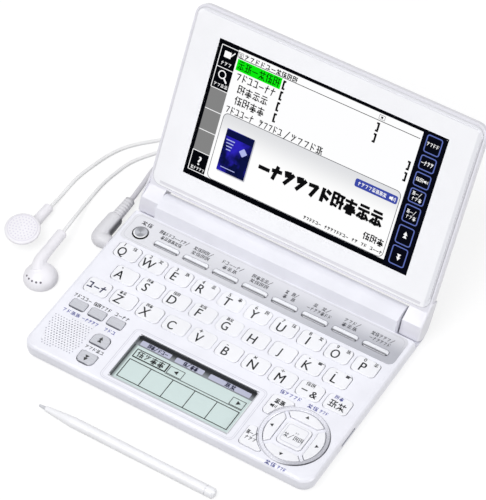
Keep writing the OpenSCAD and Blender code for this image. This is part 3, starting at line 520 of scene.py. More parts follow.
@dataclass(frozen=True)
class FlankShadedCap:
    """Metal-painted key with painted shade and dark reflection on its front and right flanks."""

    name: str
    colour: Colour
    edge: Colour
    middle: Pair
    half: Pair
    pitch: float = 1.0
    metallic: float = 0.35
    roughness: float = 0.3
    soft: float = 0.35 * MM
    roll: float = 1.35 * MM
    foot: float = 1.0
    foot_edge: Pair = (0.22 * MM, 0.05 * MM)
    line: float = 0.15 * MM
    depth: float = 0.002 * MM

    def material(self) -> bpy.types.Material:
        """Material of this key, or of a row of them at one pitch, with painted shade on its front and right flanks.

        Returns:
            The material.
        """
        graph = Graph(self.name)
        steps = (graph.along(0) - self.middle[0]) / self.pitch
        right = (steps - graph.maths("ROUND", steps)) * self.pitch
        front = self.middle[1] - graph.along(1)
        wide, deep = self.half
        # Painted shade and dark reflection on the right flank and the rolled front edge, weaker at the front
        # flank's foot.
        flank = graph.ramp(right, wide - self.soft, wide - 0.2 * self.soft)
        rolled = graph.ramp(front, deep - self.roll, deep - 0.24 * self.roll)
        foot = graph.ramp(front, *(deep - edge for edge in self.foot_edge), 1, self.foot)
        lines = graph.noise(self.line, 2, (0.05, 1, 1))
        darker = tuple(part * 0.9 for part in self.colour)
        top = graph.mix(graph.ramp(lines, *CLOUDS), darker, self.colour)
        return graph.surface(
            Base_Color=graph.mix(graph.maths("MAXIMUM", flank, rolled * foot), top, self.edge),
            Metallic=self.metallic,
            Roughness=graph.ramp(lines, *GRAIN, self.roughness * 0.85, self.roughness * 1.15),
            Normal=graph.bump(lines, self.depth),
        )


@dataclass(frozen=True)
class TurnedCap:
    """Round metal key with a brushed top and a polished rim, with painted highlights on the top and painted dark
    reflection on the rim.
    """

    name: str
    colour: Colour
    rim: Colour
    middle: Pair
    top_r: float
    painted_gleam: Colour = (0.9, 0.9, 0.92)
    streak: float = 0.6 * MM

    def material(self) -> bpy.types.Material:
        """Material of this key, with its painted highlights and painted dark reflection.

        Returns:
            The material.
        """
        graph = Graph(self.name)
        across, back, radius = graph.radius(self.middle)
        rim = graph.ramp(radius, self.top_r + 0.3 * MM, self.top_r + 0.45 * MM)
        front = graph.ramp(-1 * back, -1 * MM, 1.5 * MM)
        # Painted highlight: a crescent of gleam along the front edge of the top.
        highlight_crescent = graph.ramp(radius, self.top_r - 0.35 * MM, self.top_r) * front
        rear = graph.ramp(back, -0.5 * MM, 2.5 * MM)
        streaks = graph.noise(self.streak, 2, (0.3, 0.3, 0.3))
        # Painted sheen of turned metal: two bright and two dark sectors over the brushed streaks.
        turned = graph.maths("SINE", graph.maths("ARCTAN2", back, across) * 2 + 0.5)
        darker = tuple(part * 0.55 for part in self.colour)
        top = graph.mix(graph.ramp(streaks * 0.6 + turned * 0.35, -0.1, 0.7), darker, self.colour)
        lit = graph.mix(highlight_crescent, top, self.painted_gleam)
        # The rim's near-black is painted dark reflection, turning lighter toward the rear as painted light.
        band = graph.mix(rear, self.rim, tuple(part * 0.35 for part in self.colour))
        return graph.surface(
            Base_Color=graph.mix(rim, lit, band),
            Metallic=0.3,
            Roughness=graph.ramp(rim, 0, 1, 0.35, 0.2),
            Normal=graph.bump(streaks, SKIN_DEPTH),
        )


@dataclass(frozen=True)
class TurnedRing:
    """Polished ring with painted shade: darker toward the right, with a dark line along its outer edge, strongest
    at the right.
    """

    name: str
    colour: Colour
    shaded: Colour
    dark: Colour
    middle: Pair
    outer: float
    turn: float = 14 * MM
    grain: float = 0.8 * MM

    def material(self) -> bpy.types.Material:
        """Material of this ring.

        Returns:
            The material.
        """
        graph = Graph(self.name)
        across, back, radius = graph.radius(self.middle)
        # Painted shade: the colour turns to the shaded one toward the right, and darkens along the outer edge.
        side = graph.ramp(across - back * 0.4, 0, self.turn)
        edge = graph.ramp(radius, self.outer - 0.6 * MM, self.outer - 0.2 * MM) * (side * 0.7 + 0.3)
        body = graph.mix(side, self.colour, self.shaded)
        grain = graph.noise(self.grain, 2)
        return graph.surface(
            Base_Color=graph.mix(edge, body, self.dark),
            Metallic=0.25,
            Roughness=graph.ramp(grain, *GRAIN, 0.22, 0.3),
        )


@dataclass(frozen=True)
class BevelledFace:
    """White face of the lid, with painted shade that greys the slopes along its right and far edges."""

    name: str
    colour: Colour
    slope: Colour
    right: float
    far: float
    raised: float
    hinge: Pair
    flow: float = 20 * MM
    soft: float = 0.8 * MM
    slope_edges: tuple[float, ...] = (0, 0.5 * MM, 1.6 * MM, 2 * MM)

    def material(self) -> bpy.types.Material:
        """Material of this face.

        Returns:
            The material.
        """
        graph = Graph(self.name)
        along = (graph.along(1) - self.hinge[0]) * math.cos(self.raised)
        along = along + (graph.along(2) - self.hinge[1]) * math.sin(self.raised)
        flow = graph.noise(self.flow, 3)
        skin = graph.noise(SKIN, 2)
        # Painted shade on the right slope and on the far slope.
        right = graph.ramp(graph.along(0), self.right, self.right + self.soft)
        edges = [self.far + edge for edge in self.slope_edges]
        far = graph.ramp(along, *edges[:2]) * graph.ramp(along, *edges[2:], 1, 0)
        share = graph.maths("MAXIMUM", right, far)
        darker = tuple(part * 0.97 for part in self.colour)
        face = graph.mix(graph.ramp(flow, *CLOUDS), darker, self.colour)
        return graph.surface(
            Base_Color=graph.mix(share, face, self.slope),
            Roughness=graph.ramp(skin, *GRAIN, 0.27, 0.33),
            Coat_Weight=0.3,
            Coat_Roughness=0.08,
            Normal=graph.bump(skin, 0.75 * SKIN_DEPTH),
        )


@dataclass(frozen=True)
class CloudyGlow:
    """Lit picture of dark and bright clouds on a display."""

    name: str
    dark: Colour
    bright: Colour
    size: float
    edges: Pair = (0.38, 0.66)

    def material(self) -> bpy.types.Material:
        """Material of this picture.

        Returns:
            The material.
        """
        graph = Graph(self.name)
        clouds = graph.noise(self.size, 3, (1, 1, 0.7))
        return graph.lit(graph.mix(graph.ramp(clouds, *self.edges), self.dark, self.bright), 1)


Dull = Moulding | Glazing | InkAndPaintedLight | ShadedInk | ShadedGrip | BevelledFace
Shining = BrushedMetal | FlankShadedCap | TurnedCap | TurnedRing | Glow | CloudyGlow | Reflective
Finish = Dull | Shining


def grey_cap(name: str, node: str, pitch: float = 1.0) -> FlankShadedCap:
    """Finish of a grey key, or of a row of them from that node on, with painted shade on its front and right
    flanks.
    """
    middle, half = Box(node).plan
    return FlankShadedCap(name, shade(203, 204, 211), shade(112, 113, 122), middle, half, pitch, 0.1, roll=0.5 * MM)


class Paint:
    """Finishes of the dictionary, named for what they are on."""

    CASE = Moulding("case_white", shade(244, 244, 252), roughness=0.32, coat=0.25)
    # The case's white set darker as painted shade, so that the barrel's well-lit top is not too bright.
    BARREL = Moulding("barrel_white", shade(236, 236, 244), roughness=0.32, coat=0.25)
    KEY = Moulding("key_white", shade(247, 247, 251), roughness=0.38, coat=0.1, depth=0.003 * MM)
    # The case's white set greyer as painted shade for the grey bands of the rim round the lid's raised face.
    LID = Moulding("lid_white", shade(234, 233, 240), roughness=0.3, coat=0.3, drift=0.01)
    MAT = Moulding("key_mat", shade(232, 232, 234), roughness=0.6)
    # The panel's darker right side and lighter rear edge are painted reflection and painted highlight.
    PANEL = BrushedMetal(
        "panel_silver", shade(228, 228, 233), 0.2, 0.45, far_colour=shade(184, 185, 193), rear=37.5 * MM
    )
    GLASS = Glazing("screen_glass", shade(4, 5, 10))
    MODULE = Moulding("module_black", shade(28, 29, 32), roughness=0.5)
    GRILLE = Moulding("grille_white", shade(246, 246, 253), roughness=0.32, coat=0.25)
    LCD = Reflective("lcd_glass", shade(208, 222, 220))
    FILM = Reflective("touch_film", shade(210, 226, 224))
    BOARD = Moulding("board_green", shade(22, 88, 52), roughness=0.45, drift=0.08)
    RUBBER = Moulding("rubber_grey", shade(88, 89, 92), roughness=0.8, depth=0.02 * MM)
    CELL = BrushedMetal("cell_can", shade(196, 152, 74), roughness=0.25)
    STEEL = BrushedMetal("spring_steel", shade(190, 192, 196), roughness=0.25)
    TIP = Moulding("tip_grey", shade(208, 209, 214), roughness=0.3, coat=0.2)
    GOLD = BrushedMetal("plug_gold", shade(214, 178, 96), roughness=0.18)
    CORD = Moulding("cord_white", shade(250, 250, 250), roughness=0.5, skin=0.6 * MM, sheen=0.35)
    THICK_CORD = Moulding("cord_grey", shade(218, 216, 222), roughness=0.45, skin=0.6 * MM)
    TIE = Moulding("tie_white", shade(225, 226, 228), roughness=0.7)
    BUD = Moulding("bud_white", shade(246, 244, 249), roughness=0.4, coat=0.15, sheen=0.3)
    PLUG = Moulding("plug_white", shade(224, 223, 227), roughness=0.45)
    # Plug grip with painted shade along its flank by the case.
    GRIP = ShadedGrip(
        "plug_grip", shade(222, 221, 225), shade(104, 104, 108), flank=(-77.9 * MM, -76.8 * MM), start=21.5 * MM
    )
    STYLUS = Moulding("stylus_white", shade(246, 246, 249), roughness=0.3, coat=0.3)
    # Faint holes of the lying bud, and the painted shade of the crease round its face.
    BUD_HOLE = InkAndPaintedLight("bud_hole", shade(226, 222, 234))
    BUD_VENT = InkAndPaintedLight("bud_vent", shade(108, 104, 114))
    # Pale rings in the key gaps: painted light that lightens the gaps' shade.
    GAP_LIGHT = InkAndPaintedLight("key_lip", shade(230, 231, 238), fade=0.02)
    GRILLE_DOT = InkAndPaintedLight("grille_dot", shade(170, 170, 184))
    # Painted shadow of the step round the lid's raised face: darker along the right, lighter along the left and the
    # foot.
    STEP_SHADOW = InkAndPaintedLight("lid_seam", shade(206, 205, 211))
    STEP_SHADOW_LIGHT = InkAndPaintedLight("lid_seam_light", shade(226, 225, 230))
    DARK_INK = InkAndPaintedLight("dark_ink", shade(52, 53, 58))
    BLACK_INK = InkAndPaintedLight("black_ink", shade(30, 31, 34))
    GREY_INK = InkAndPaintedLight("grey_ink", shade(66, 67, 74))
    SOFT_INK = InkAndPaintedLight("soft_ink", shade(214, 214, 224))
    VIOLET_INK = InkAndPaintedLight("violet_ink", shade(98, 102, 176))
    NIGHT_INK = InkAndPaintedLight("night_ink", shade(50, 52, 88))
    TAB = Reflective("window_tab", shade(190, 192, 214))
    # Painted shadow on the window opening's walls and edges, and paler painted shade on its front and right edges.
    WINDOW_SHADOW_DARK = InkAndPaintedLight("window_edge_dark", shade(66, 68, 73), fade=0.03)
    WINDOW_SHADOW_GREY = InkAndPaintedLight("window_edge_grey", shade(140, 143, 146), fade=0.03)
    WINDOW_EDGE_SHADE = InkAndPaintedLight("window_edge_pale", shade(196, 198, 203), fade=0.03)
    # Printed grey band of the sub display, darkened toward the rear wall by painted shadow of that wall.
    BAND = ShadedInk(
        "window_band", shade(134, 138, 144), shade(34, 36, 40), axis=1, start=-25.4 * MM, end=-22.3 * MM
    )
    # Painted shadow of the opening's left wall, dark at the wall and fading inward.
    WINDOW_SHADE = ShadedInk(
        "window_shade", shade(60, 63, 66), shade(176, 188, 187), axis=0, start=-31.0 * MM, end=-29.4 * MM
    )
    PANEL_LINE = InkAndPaintedLight("panel_line", shade(184, 185, 192))
    CELL_LINE = InkAndPaintedLight("window_line", shade(24, 28, 28), fade=0.02)
    WINDOW_RIM = Reflective("window_rim", shade(232, 240, 238))
    PAGE = Glow("page_white", shade(254, 254, 255))
    SHEET = Glow("page_sheet", shade(255, 255, 255), shade(222, 223, 226), 44 * MM, 57.5 * MM)
    PAGE_INK = Glow("page_ink", shade(10, 10, 12))
    PAGE_LINE = Glow("page_line", shade(92, 93, 98))
    PAGE_GREY = Glow("page_grey", shade(132, 132, 132))
    SHADOW = Glow("cover_shadow", shade(196, 197, 204))
    GREEN = Glow("bar_green", shade(4, 232, 8))
    GREEN_INK = Glow("bar_ink", shade(0, 62, 0))
    BADGE = Glow("badge_blue", shade(60, 74, 166))
    STRIP = Glow("strip_navy", shade(3, 4, 17))
    STRIP_LINE = Glow("strip_line", shade(98, 114, 186))
    COVER = CloudyGlow("cover_blue", shade(4, 12, 58), shade(44, 34, 188), 8 * MM)
    COVER_WEDGE = Glow("cover_wedge", shade(6, 14, 66))
    COVER_PALE = Glow("cover_pale", shade(176, 184, 236))

    _made: dict[str, bpy.types.Material] = {}

    @classmethod
    def of(cls, finish: Finish) -> bpy.types.Material:
        """The one material of a finish, made when it is first asked for.

        Args:
            finish: The finish.

        Returns:
            Its material.
        """
        if finish.name not in cls._made:
            cls._made[finish.name] = finish.material()
        return cls._made[finish.name]


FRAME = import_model()


class Box:
    """Place and size of a carried-over node at rest."""

    def __init__(self, node: str) -> None:
        """Reads the node's corners.

        Args:
            node: Name of the node.
        """
        self.low, self.high = (Vector(corner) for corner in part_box(node))
        self.middle = (self.low + self.high) / 2
        self.size = self.high - self.low
        self.top = self.high.z

    @property
    def plan(self) -> tuple[Pair, Pair]:
        """Middle and half size as seen from above."""
        return (self.middle.x, self.middle.y), (self.size.x / 2, self.size.y / 2)


@dataclass(frozen=True)
class Plane:
    """Flat surface that prints lie on, measured along it in millimetres."""

    origin: Vector
    right: Vector = field(default_factory=X_AXIS.copy)
    up: Vector = field(default_factory=Y_AXIS.copy)

    @classmethod
    def on_top(cls, node: str, middle: bool = False) -> Plane:
        """Plane of a node's top.

        Args:
            node: Name of the node.
            middle: Whether it is measured from the node's own middle instead of the desk's origin.

        Returns:
            The plane.
        """
        box = Box(node)
        place = (box.middle.x, box.middle.y) if middle else (0, 0)
        return cls(Vector((*place, box.top)))

    @classmethod
    def of_screen(cls, sink: float) -> Plane:
        """Plane of the open lid's screen, with its origin on the hinge line and up along the lid.

        Args:
            sink: Metres that it lies below the hinge line's own plane.

        Returns:
            The plane.
        """
        joint = next(joint for joint in FRAME["joints"] if joint["name"] == "lid_hinge")
        raised = math.radians(180 + joint["range_deg"][0])
        up = Vector((0, math.cos(raised), math.sin(raised)))
        return cls(Vector(joint["pos_m"]) - X_AXIS.cross(up) * sink, X_AXIS, up)

    def matrix(self, x: float, y: float, lift: float, turn: float = 0) -> Matrix:
        """Placement of a shape drawn about its own middle in metres.

        Args:
            x: Millimetres to the right.
            y: Millimetres up along the plane.
            lift: Metres out of the plane.
            turn: Degrees anticlockwise.

        Returns:
            The placement.
        """
        out = self.right.cross(self.up)
        place = self.origin + self.right * x * MM + self.up * y * MM + out * lift
        axes = Matrix((self.right, self.up, out)).transposed().to_4x4()
        return Matrix.Translation(place) @ axes @ Matrix.Rotation(math.radians(turn), 4, "Z")


class Facing(Enum):
    """Directions a small triangle points in, as degrees from straight up."""

    UP = 0
    LEFT = 90
    DOWN = 180
    RIGHT = -90


class Hand(Enum):
    """Kinds of made-up character, drawn with strokes in a square of one unit."""

    DENSE = (
        ((0.5, 0.98, 0.5, 0.02), (0.08, 0.8, 0.92, 0.8), (0.2, 0.52, 0.8, 0.52), (0.06, 0.22, 0.94, 0.22)),
        ((0.12, 0.95, 0.12, 0.05), (0.12, 0.95, 0.52, 0.95), (0.52, 0.95, 0.52, 0.3), (0.12, 0.62, 0.52, 0.62)),
        ((0.28, 0.98, 0.05, 0.6), (0.2, 0.72, 0.2, 0.02), (0.42, 0.88, 0.96, 0.88), (0.66, 0.88, 0.6, 0.05)),
        ((0.05, 0.74, 0.95, 0.74), (0.3, 0.95, 0.3, 0.55), (0.7, 0.95, 0.7, 0.55), (0.5, 0.5, 0.08, 0.04)),
        ((0.1, 0.9, 0.48, 0.9), (0.3, 0.9, 0.3, 0.1), (0.1, 0.5, 0.48, 0.5), (0.62, 0.95, 0.62, 0.05)),
        ((0.18, 0.94, 0.82, 0.94), (0.08, 0.66, 0.92, 0.66), (0.5, 0.66, 0.5, 0.05), (0.3, 0.4, 0.08, 0.12)),
    )
    DENSE_MORE = (
        ((0.12, 0.36, 0.88, 0.36), (0.3, 0.02, 0.7, 0.02)),
        ((0.7, 0.9, 0.98, 0.9), (0.84, 0.9, 0.84, 0.04), (0.6, 0.46, 0.98, 0.46), (0.06, 0.2, 0.5, 0.12)),
        ((0.44, 0.5, 0.94, 0.5), (0.84, 0.5, 0.9, 0.05), (0.44, 0.16, 0.8, 0.16)),
        ((0.44, 0.36, 0.94, 0.02), (0.2, 0.3, 0.8, 0.3), (0.5, 0.3, 0.5, 0.02)),
        ((0.9, 0.9, 0.62, 0.62), (0.62, 0.5, 0.96, 0.5), (0.8, 0.5, 0.95, 0.08), (0.06, 0.12, 0.5, 0.12)),
        ((0.7, 0.4, 0.94, 0.12), (0.28, 0.14, 0.72, 0.14)),
    )
    LIGHT = (
        ((0.16, 0.8, 0.8, 0.84), (0.8, 0.84, 0.42, 0.1)),
        ((0.2, 0.9, 0.3, 0.62), (0.5, 0.94, 0.56, 0.66), (0.84, 0.86, 0.26, 0.1)),
        ((0.16, 0.62, 0.86, 0.68), (0.52, 0.95, 0.3, 0.06)),
        ((0.1, 0.46, 0.9, 0.46),),
        ((0.18, 0.86, 0.74, 0.86), (0.74, 0.86, 0.68, 0.18), (0.12, 0.16, 0.9, 0.18)),
        ((0.3, 0.94, 0.26, 0.08), (0.3, 0.56, 0.74, 0.34), (0.62, 0.9, 0.86, 0.8)),
    )

    def strokes(self, number: int) -> Sequence[tuple[float, float, float, float]]:
        """Strokes of one character of this kind.

        Args:
            number: Number of its pattern.

        Returns:
            The ends of each stroke in a unit square.
        """
        first = self.value[number % len(self.value)]
        if self is Hand.DENSE:
            return (*first, *Hand.DENSE_MORE.value[number % len(self.value)])
        return first


def turned(direction: Vector) -> Matrix:
    """Turn that points a thing's own Z axis in a direction."""
    return direction.to_track_quat("Z", "Y").to_matrix().to_4x4()


def placed(name: str, data: bpy.types.ID) -> Piece:
    """Puts a new object into the scene.

    Args:
        name: Its name.
        data: Its mesh, curve, writing, lamp or camera.

    Returns:
        The object.
    """
    piece = bpy.data.objects.new(name, data)
    bpy.context.scene.collection.objects.link(piece)
    return piece


def finished(mesh: bmesh.types.BMesh, name: str, smooth: bool = False) -> Piece:
    """Turns a built mesh into an object at the origin.

    Args:
        mesh: The geometry in the object's frame, which is freed.
        name: The piece's name.
        smooth: Whether its faces are shaded smooth.

    Returns:
        The new object, linked to the scene.
    """
    data = bpy.data.meshes.new(name)
    mesh.to_mesh(data)
    mesh.free()
    for face in data.polygons:
        face.use_smooth = smooth
    return placed(name, data)


class Print:
    """Flat shapes in one finish on one plane, gathered into one piece that rides on a body: print, and also painted
    shade and light.
    """

    STEP = 0.03 * MM

    def __init__(self, name: str, plane: Plane, ink: Finish, body: str, layer: int = 1) -> None:
        """Starts an empty print.

        Args:
            name: The piece's name.
            plane: Surface it lies on.
            ink: Finish of the whole print.
            body: Body it rides on.
            layer: Its place above the surface, counted in thin steps.
        """
        self.name = name
        self.plane = plane
        self.ink = ink
        self.body = body
        self.lift = layer * self.STEP
        self.mesh = bmesh.new()

    def place(self, x: float, y: float, turn: float = 0) -> Matrix:
        """Placement of a shape on this print's layer."""
        return self.plane.matrix(x, y, self.lift, turn)

    def lay(self, *shapes: Shape) -> Print:
        """Adds shapes.

        Args:
            shapes: The shapes in their order.

        Returns:
            The print itself.
        """
        for shape in shapes:
            shape.draw(self)
        return self

    def rim(self, shape: Bar | Disc, thick: float) -> None:
        """Adds only the rim of a shape.

        Args:
            shape: The whole shape.
            thick: Millimetres from its edge to the rim's inner edge.
        """
        before = set(self.mesh.faces)
        shape.draw(self)
        faces = [face for face in self.mesh.faces if face not in before]
        self.mesh.normal_update()
        rim = {"thickness": thick * MM, "use_boundary": True, "use_even_offset": True}
        bmesh.ops.inset_region(self.mesh, faces=faces, **rim)
        bmesh.ops.delete(self.mesh, geom=faces, context="FACES_ONLY")

    def done(self) -> Piece:
        """Makes the piece.

        Returns:
            The piece, which rides on its body.
        """
        piece = finished(self.mesh, self.name)
        piece.data.materials.append(Paint.of(self.ink))
        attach(piece, self.body)
        return piece


@dataclass(frozen=True)
class Bar:
    """Bar about x, y in millimetres, with round corners if a corner radius is given."""

    x: float
    y: float
    wide: float
    high: float
    corner: float = 0
    turn: float = 0

    def draw(self, sheet: Print) -> None:
        """Adds the bar to a print.

        Args:
            sheet: The print.
        """
        size = Matrix.Diagonal((self.wide * MM / 2, self.high * MM / 2, 1, 1))
        place = sheet.place(self.x, self.y, self.turn) @ size
        made = bmesh.ops.create_grid(sheet.mesh, x_segments=1, y_segments=1, size=1, matrix=place)
        if self.corner:
            bmesh.ops.bevel(
                sheet.mesh,
                geom=made["verts"],
                offset=self.corner * MM,
                affect="VERTICES",
                segments=4,
                profile=0.5,
                material=-1,
            )


@dataclass(frozen=True)
class Frame:
    """Outline that lies inside the bar of the same size."""

    x: float
    y: float
    wide: float
    high: float
    thick: float
    corner: float = 0

    def draw(self, sheet: Print) -> None:
        """Adds the outline to a print."""
        sheet.rim(Bar(self.x, self.y, self.wide, self.high, self.corner), self.thick)


@dataclass(frozen=True)
class Stroke:
    """Straight line between two points."""

    start: Pair
    end: Pair
    thick: float
    overrun: float = 0.6

    def draw(self, sheet: Print) -> None:
        """Adds the line to a print, a little longer than its points so that joined lines meet.

        Args:
            sheet: The print.
        """
        run = Vector(self.end) - Vector(self.start)
        middle = (Vector(self.end) + Vector(self.start)) / 2
        angle = math.degrees(math.atan2(run.y, run.x))
        Bar(middle.x, middle.y, run.length + self.thick * self.overrun, self.thick, turn=angle).draw(sheet)


@dataclass(frozen=True)
class Disc:
    """Disc, or a regular shape of few sides."""

    x: float
    y: float
    radius: float
    sides: int = 32
    turn: float = 0

    def draw(self, sheet: Print) -> None:
        """Adds the disc to a print.

        Args:
            sheet: The print.
        """
        place = sheet.place(self.x, self.y, self.turn)
        radius = self.radius * MM
        bmesh.ops.create_circle(sheet.mesh, cap_ends=True, segments=self.sides, radius=radius, matrix=place)


@dataclass(frozen=True)
class Ring:
    """Ring that lies inside the disc of the same radius."""

    x: float
    y: float
    radius: float
    thick: float

    def draw(self, sheet: Print) -> None:
        """Adds the ring to a print."""
        sheet.rim(Disc(self.x, self.y, self.radius), self.thick)


@dataclass(frozen=True)
class Triangle:
    """Small triangle that points in one direction."""

    x: float
    y: float
    radius: float
    facing: Facing

    def draw(self, sheet: Print) -> None:
        """Adds the triangle to a print."""
        Disc(self.x, self.y, self.radius, 3, self.facing.value).draw(sheet)


@dataclass(frozen=True)
class Double:
    """Two triangles one above the other."""

    x: float
    y: float
    radius: float
    facing: Facing

    def draw(self, sheet: Print) -> None:
        """Adds both triangles to a print."""
        for side in (-1, 1):
            Triangle(self.x, self.y + side * self.radius * 0.62, self.radius, self.facing).draw(sheet)


@dataclass(frozen=True)
class Loudspeaker:
    """Small loudspeaker with two sound waves."""

    x: float
    y: float
    size: float

    def draw(self, sheet: Print) -> None:
        """Adds the box, the cone and the waves to a print.

        Args:
            sheet: The print.
        """
        x, y, size = self.x, self.y, self.size
        sheet.lay(
            Bar(x - size * 0.36, y, size * 0.3, size * 0.42),
            Triangle(x - size * 0.12, y, size * 0.44, Facing.LEFT),
            Bar(x + size * 0.3, y, size * 0.1, size * 0.45),
            Bar(x + size * 0.52, y, size * 0.1, size * 0.75),
        )


@dataclass(frozen=True)
class Word:
    """Plain letters, digits or signs about x, y.

    The weight is how far their strokes are thickened, and narrow is the share of their usual width
    that they keep. CAP_SHARE is the height of a capital of Blender's own face, for a size of 1.
    """

    text: str
    x: float
    y: float
    cap: float
    weight: float = 0
    narrow: float = 1

    CAP_SHARE = 0.729

    def draw(self, sheet: Print) -> None:
        """Adds the writing to a print, a second time beside itself where it is thickened.

        Args:
            sheet: The print.
        """
        data = bpy.data.curves.new(self.text, "FONT")
        data.body = self.text
        data.resolution_u = 4
        writing = placed(self.text, data)
        flat = bpy.data.meshes.new_from_object(writing.evaluated_get(bpy.context.evaluated_depsgraph_get()))
        ends = [corner.co.x for corner in flat.vertices]
        scale = self.cap * MM / self.CAP_SHARE
        size = Matrix.Diagonal((scale * self.narrow, scale, scale, 1))
        centred = size @ Matrix.Translation((-(min(ends) + max(ends)) / 2, -self.CAP_SHARE / 2, 0))
        flat.transform(sheet.place(self.x - self.weight / 2, self.y) @ centred)
        sheet.mesh.from_mesh(flat)
        if self.weight:
            plane = sheet.plane
            flat.transform(Matrix.Translation(plane.right * self.weight * MM + plane.up * sheet.STEP / 4))
            sheet.mesh.from_mesh(flat)
        bpy.data.objects.remove(writing)
        bpy.data.meshes.remove(flat)


@dataclass(frozen=True)
class Marks:
    """Line of made-up characters about x, y.

    The kinds give one letter for each character: d dense, l light, s a slash, and a blank for a gap.
    The first character has the pattern of the number first, and the strokes' weight is for a height of 1.
    """

    x: float
    y: float
    wide: float
    high: float
    kinds: str
    first: int = 0
    weight: float = 0.11

    FILL = 0.92
    SLASH = ((0.1, -0.05, 0.8, 1.05),)

    def moved(self, x: float, y: float) -> Marks:
        """The same line about a place that is x, y further."""
        return replace(self, x=x + self.x, y=y + self.y)

    def strokes(self, i: int) -> Sequence[tuple[float, float, float, float]]:
        """Strokes of character i in a unit square.

        Args:
            i: Number of the character, from 0.

        Returns:
            The ends of each stroke.
        """
        kind = self.kinds[i]
        if kind == " ":
            return ()
        if kind == "s":
            return self.SLASH
        return (Hand.DENSE if kind == "d" else Hand.LIGHT).strokes(self.first + i * 5 + i // 3)

    def draw(self, sheet: Print) -> None:
        """Adds the characters to a print.

        Args:
            sheet: The print.
        """
        pitch = self.wide / len(self.kinds)
        across = min(pitch * self.FILL, self.high)
        for i in range(len(self.kinds)):
            left = self.x - self.wide / 2 + pitch * (i + 0.5) - across / 2
            for x0, y0, x1, y1 in self.strokes(i):
                start, end = (
                    (left + across * part, self.y + self.high * (rise - 0.5))
                    for part, rise in ((x0, y0), (x1, y1))
                )
                Stroke(start, end, self.weight * self.high).draw(sheet)


Shape = Bar | Frame | Stroke | Disc | Ring | Triangle | Double | Loudspeaker | Word | Marks
NodeArt = tuple[tuple[str, Finish, tuple[Shape, ...]], ...]


@dataclass(frozen=True)
class Artwork:
    """One print before it is laid: its name, ink, shapes and layer."""

    name: str
    ink: Finish
    shapes: tuple[Shape, ...]
    layer: int = 1

    def put(self, plane: Plane, body: str) -> None:
        """Prints it on a plane of a body."""
        Print(self.name, plane, self.ink, body, self.layer).lay(*self.shapes).done()


@dataclass(frozen=True)
class Studio:
    """Camera at the photograph's view of the object, lamps, floor and backdrop."""

    aim: Vector = field(default_factory=lambda: Vector((-13.644, 35.637, 20)) * MM)
    azimuth: float = math.radians(31.904)
    elevation: float = math.radians(49.657)
    roll: float = math.radians(-0.061)
    distance: float = 1.28746
    frame_px: int = 486
    focal_px: float = 2892.4
    sensor: float = 36.0
    lamps: tuple[tuple[str, Point, float, float], ...] = (
        ("rear_left_lamp", (-0.7, 0.5, 1.7), 0.8, 3),
        ("front_lamp", (-0.3, -1.1, 1.7), 1.5, 27),
        ("right_lamp", (1.5, 0.1, 0.6), 0.8, 7.5),
    )
    floor_half: float = 4
    floor_white: float = 0.3
    floor_lift: float = 0.16
    floor_seen: float = 0.6
    ambient: float = 0.35

    def camera(self) -> Piece:
        """Camera at the photograph's viewing angle.

        Returns:
            The camera.
        """
        data = bpy.data.cameras.new("camera")
        data.sensor_fit = "HORIZONTAL"
        data.sensor_width = self.sensor
        data.lens = self.focal_px / self.frame_px * self.sensor
        level = math.cos(self.elevation)
        across, front = math.sin(self.azimuth), -math.cos(self.azimuth)
        outward = Vector((level * across, level * front, math.sin(self.elevation)))
        piece = placed("camera", data)
        turn = turned(outward) @ Matrix.Rotation(self.roll, 4, "Z")
        piece.matrix_world = Matrix.Translation(self.aim + outward * self.distance) @ turn
        bpy.context.scene.camera = piece
        return piece

    def lamp(self, name: str, place: Sequence[float], size: float, power: float) -> Piece:
        """Square soft lamp that looks at the object.

        Args:
            name: Its name.
            place: Where it stands, in metres.
            size: Its side in metres.
            power: Its power in watts.

        Returns:
            The lamp.
        """
        data = bpy.data.lights.new(name, "AREA")
        data.size = size
        data.energy = power
        piece = placed(name, data)
        place = Vector(place)
        piece.matrix_world = Matrix.Translation(place) @ turned(place - self.aim)
        return piece

    def seen_share(self, graph: Graph) -> Term:
        """1 for the camera's own rays and for mirrored and refracted ones, else 0.

        Args:
            graph: Graph that it is worked out in.

        Returns:
            The share.
        """
        path = graph.node("ShaderNodeLightPath")
        rays = [Term(graph, path.outputs[f"Is {kind} Ray"]) for kind in ("Camera", "Glossy", "Transmission")]
        return graph.maths("MINIMUM", rays[0] + rays[1] + rays[2], 1.0)

    def floor(self) -> Piece:
        """Wide pale floor that keeps the object's shadow.

        Returns:
            The floor.
        """
        mesh = bmesh.new()
        bmesh.ops.create_grid(mesh, x_segments=1, y_segments=1, size=self.floor_half)
        piece = finished(mesh, "floor")
        graph = Graph("floor_white")
        white = graph.node("ShaderNodeBsdfDiffuse", {"Color": (*(self.floor_white,) * 3, 1)})
        strength = self.seen_share(graph) * self.floor_seen + self.floor_lift
        lift = graph.node("ShaderNodeEmission", {"Color": (1, 1, 1, 1), "Strength": strength})
        both = graph.node("ShaderNodeAddShader")
        graph.tree.links.new(white.outputs[0], both.inputs[0])
        graph.tree.links.new(lift.outputs[0], both.inputs[1])
        output = graph.node("ShaderNodeOutputMaterial")
        graph.tree.links.new(both.outputs[0], output.inputs[0])
        piece.data.materials.append(graph.owner)
        return piece

    def backdrop(self) -> None:
        """White backdrop, which lights the object more weakly than it shows."""
        graph = Graph("backdrop", "worlds")
        strength = self.seen_share(graph) * (1 - self.ambient) + self.ambient
        light = graph.node("ShaderNodeBackground", {"Color": (0.97, 0.98, 1, 1), "Strength": strength})
        output = graph.node("ShaderNodeOutputWorld")
        graph.tree.links.new(light.outputs[0], output.inputs[0])
        bpy.context.scene.world = graph.owner

    def build(self) -> None:
        """Sets up the whole studio."""
        bpy.context.scene.view_settings.view_transform = "Standard"
        self.camera()
        self.backdrop()
        self.floor()
        for lamp in self.lamps:
            self.lamp(*lamp)


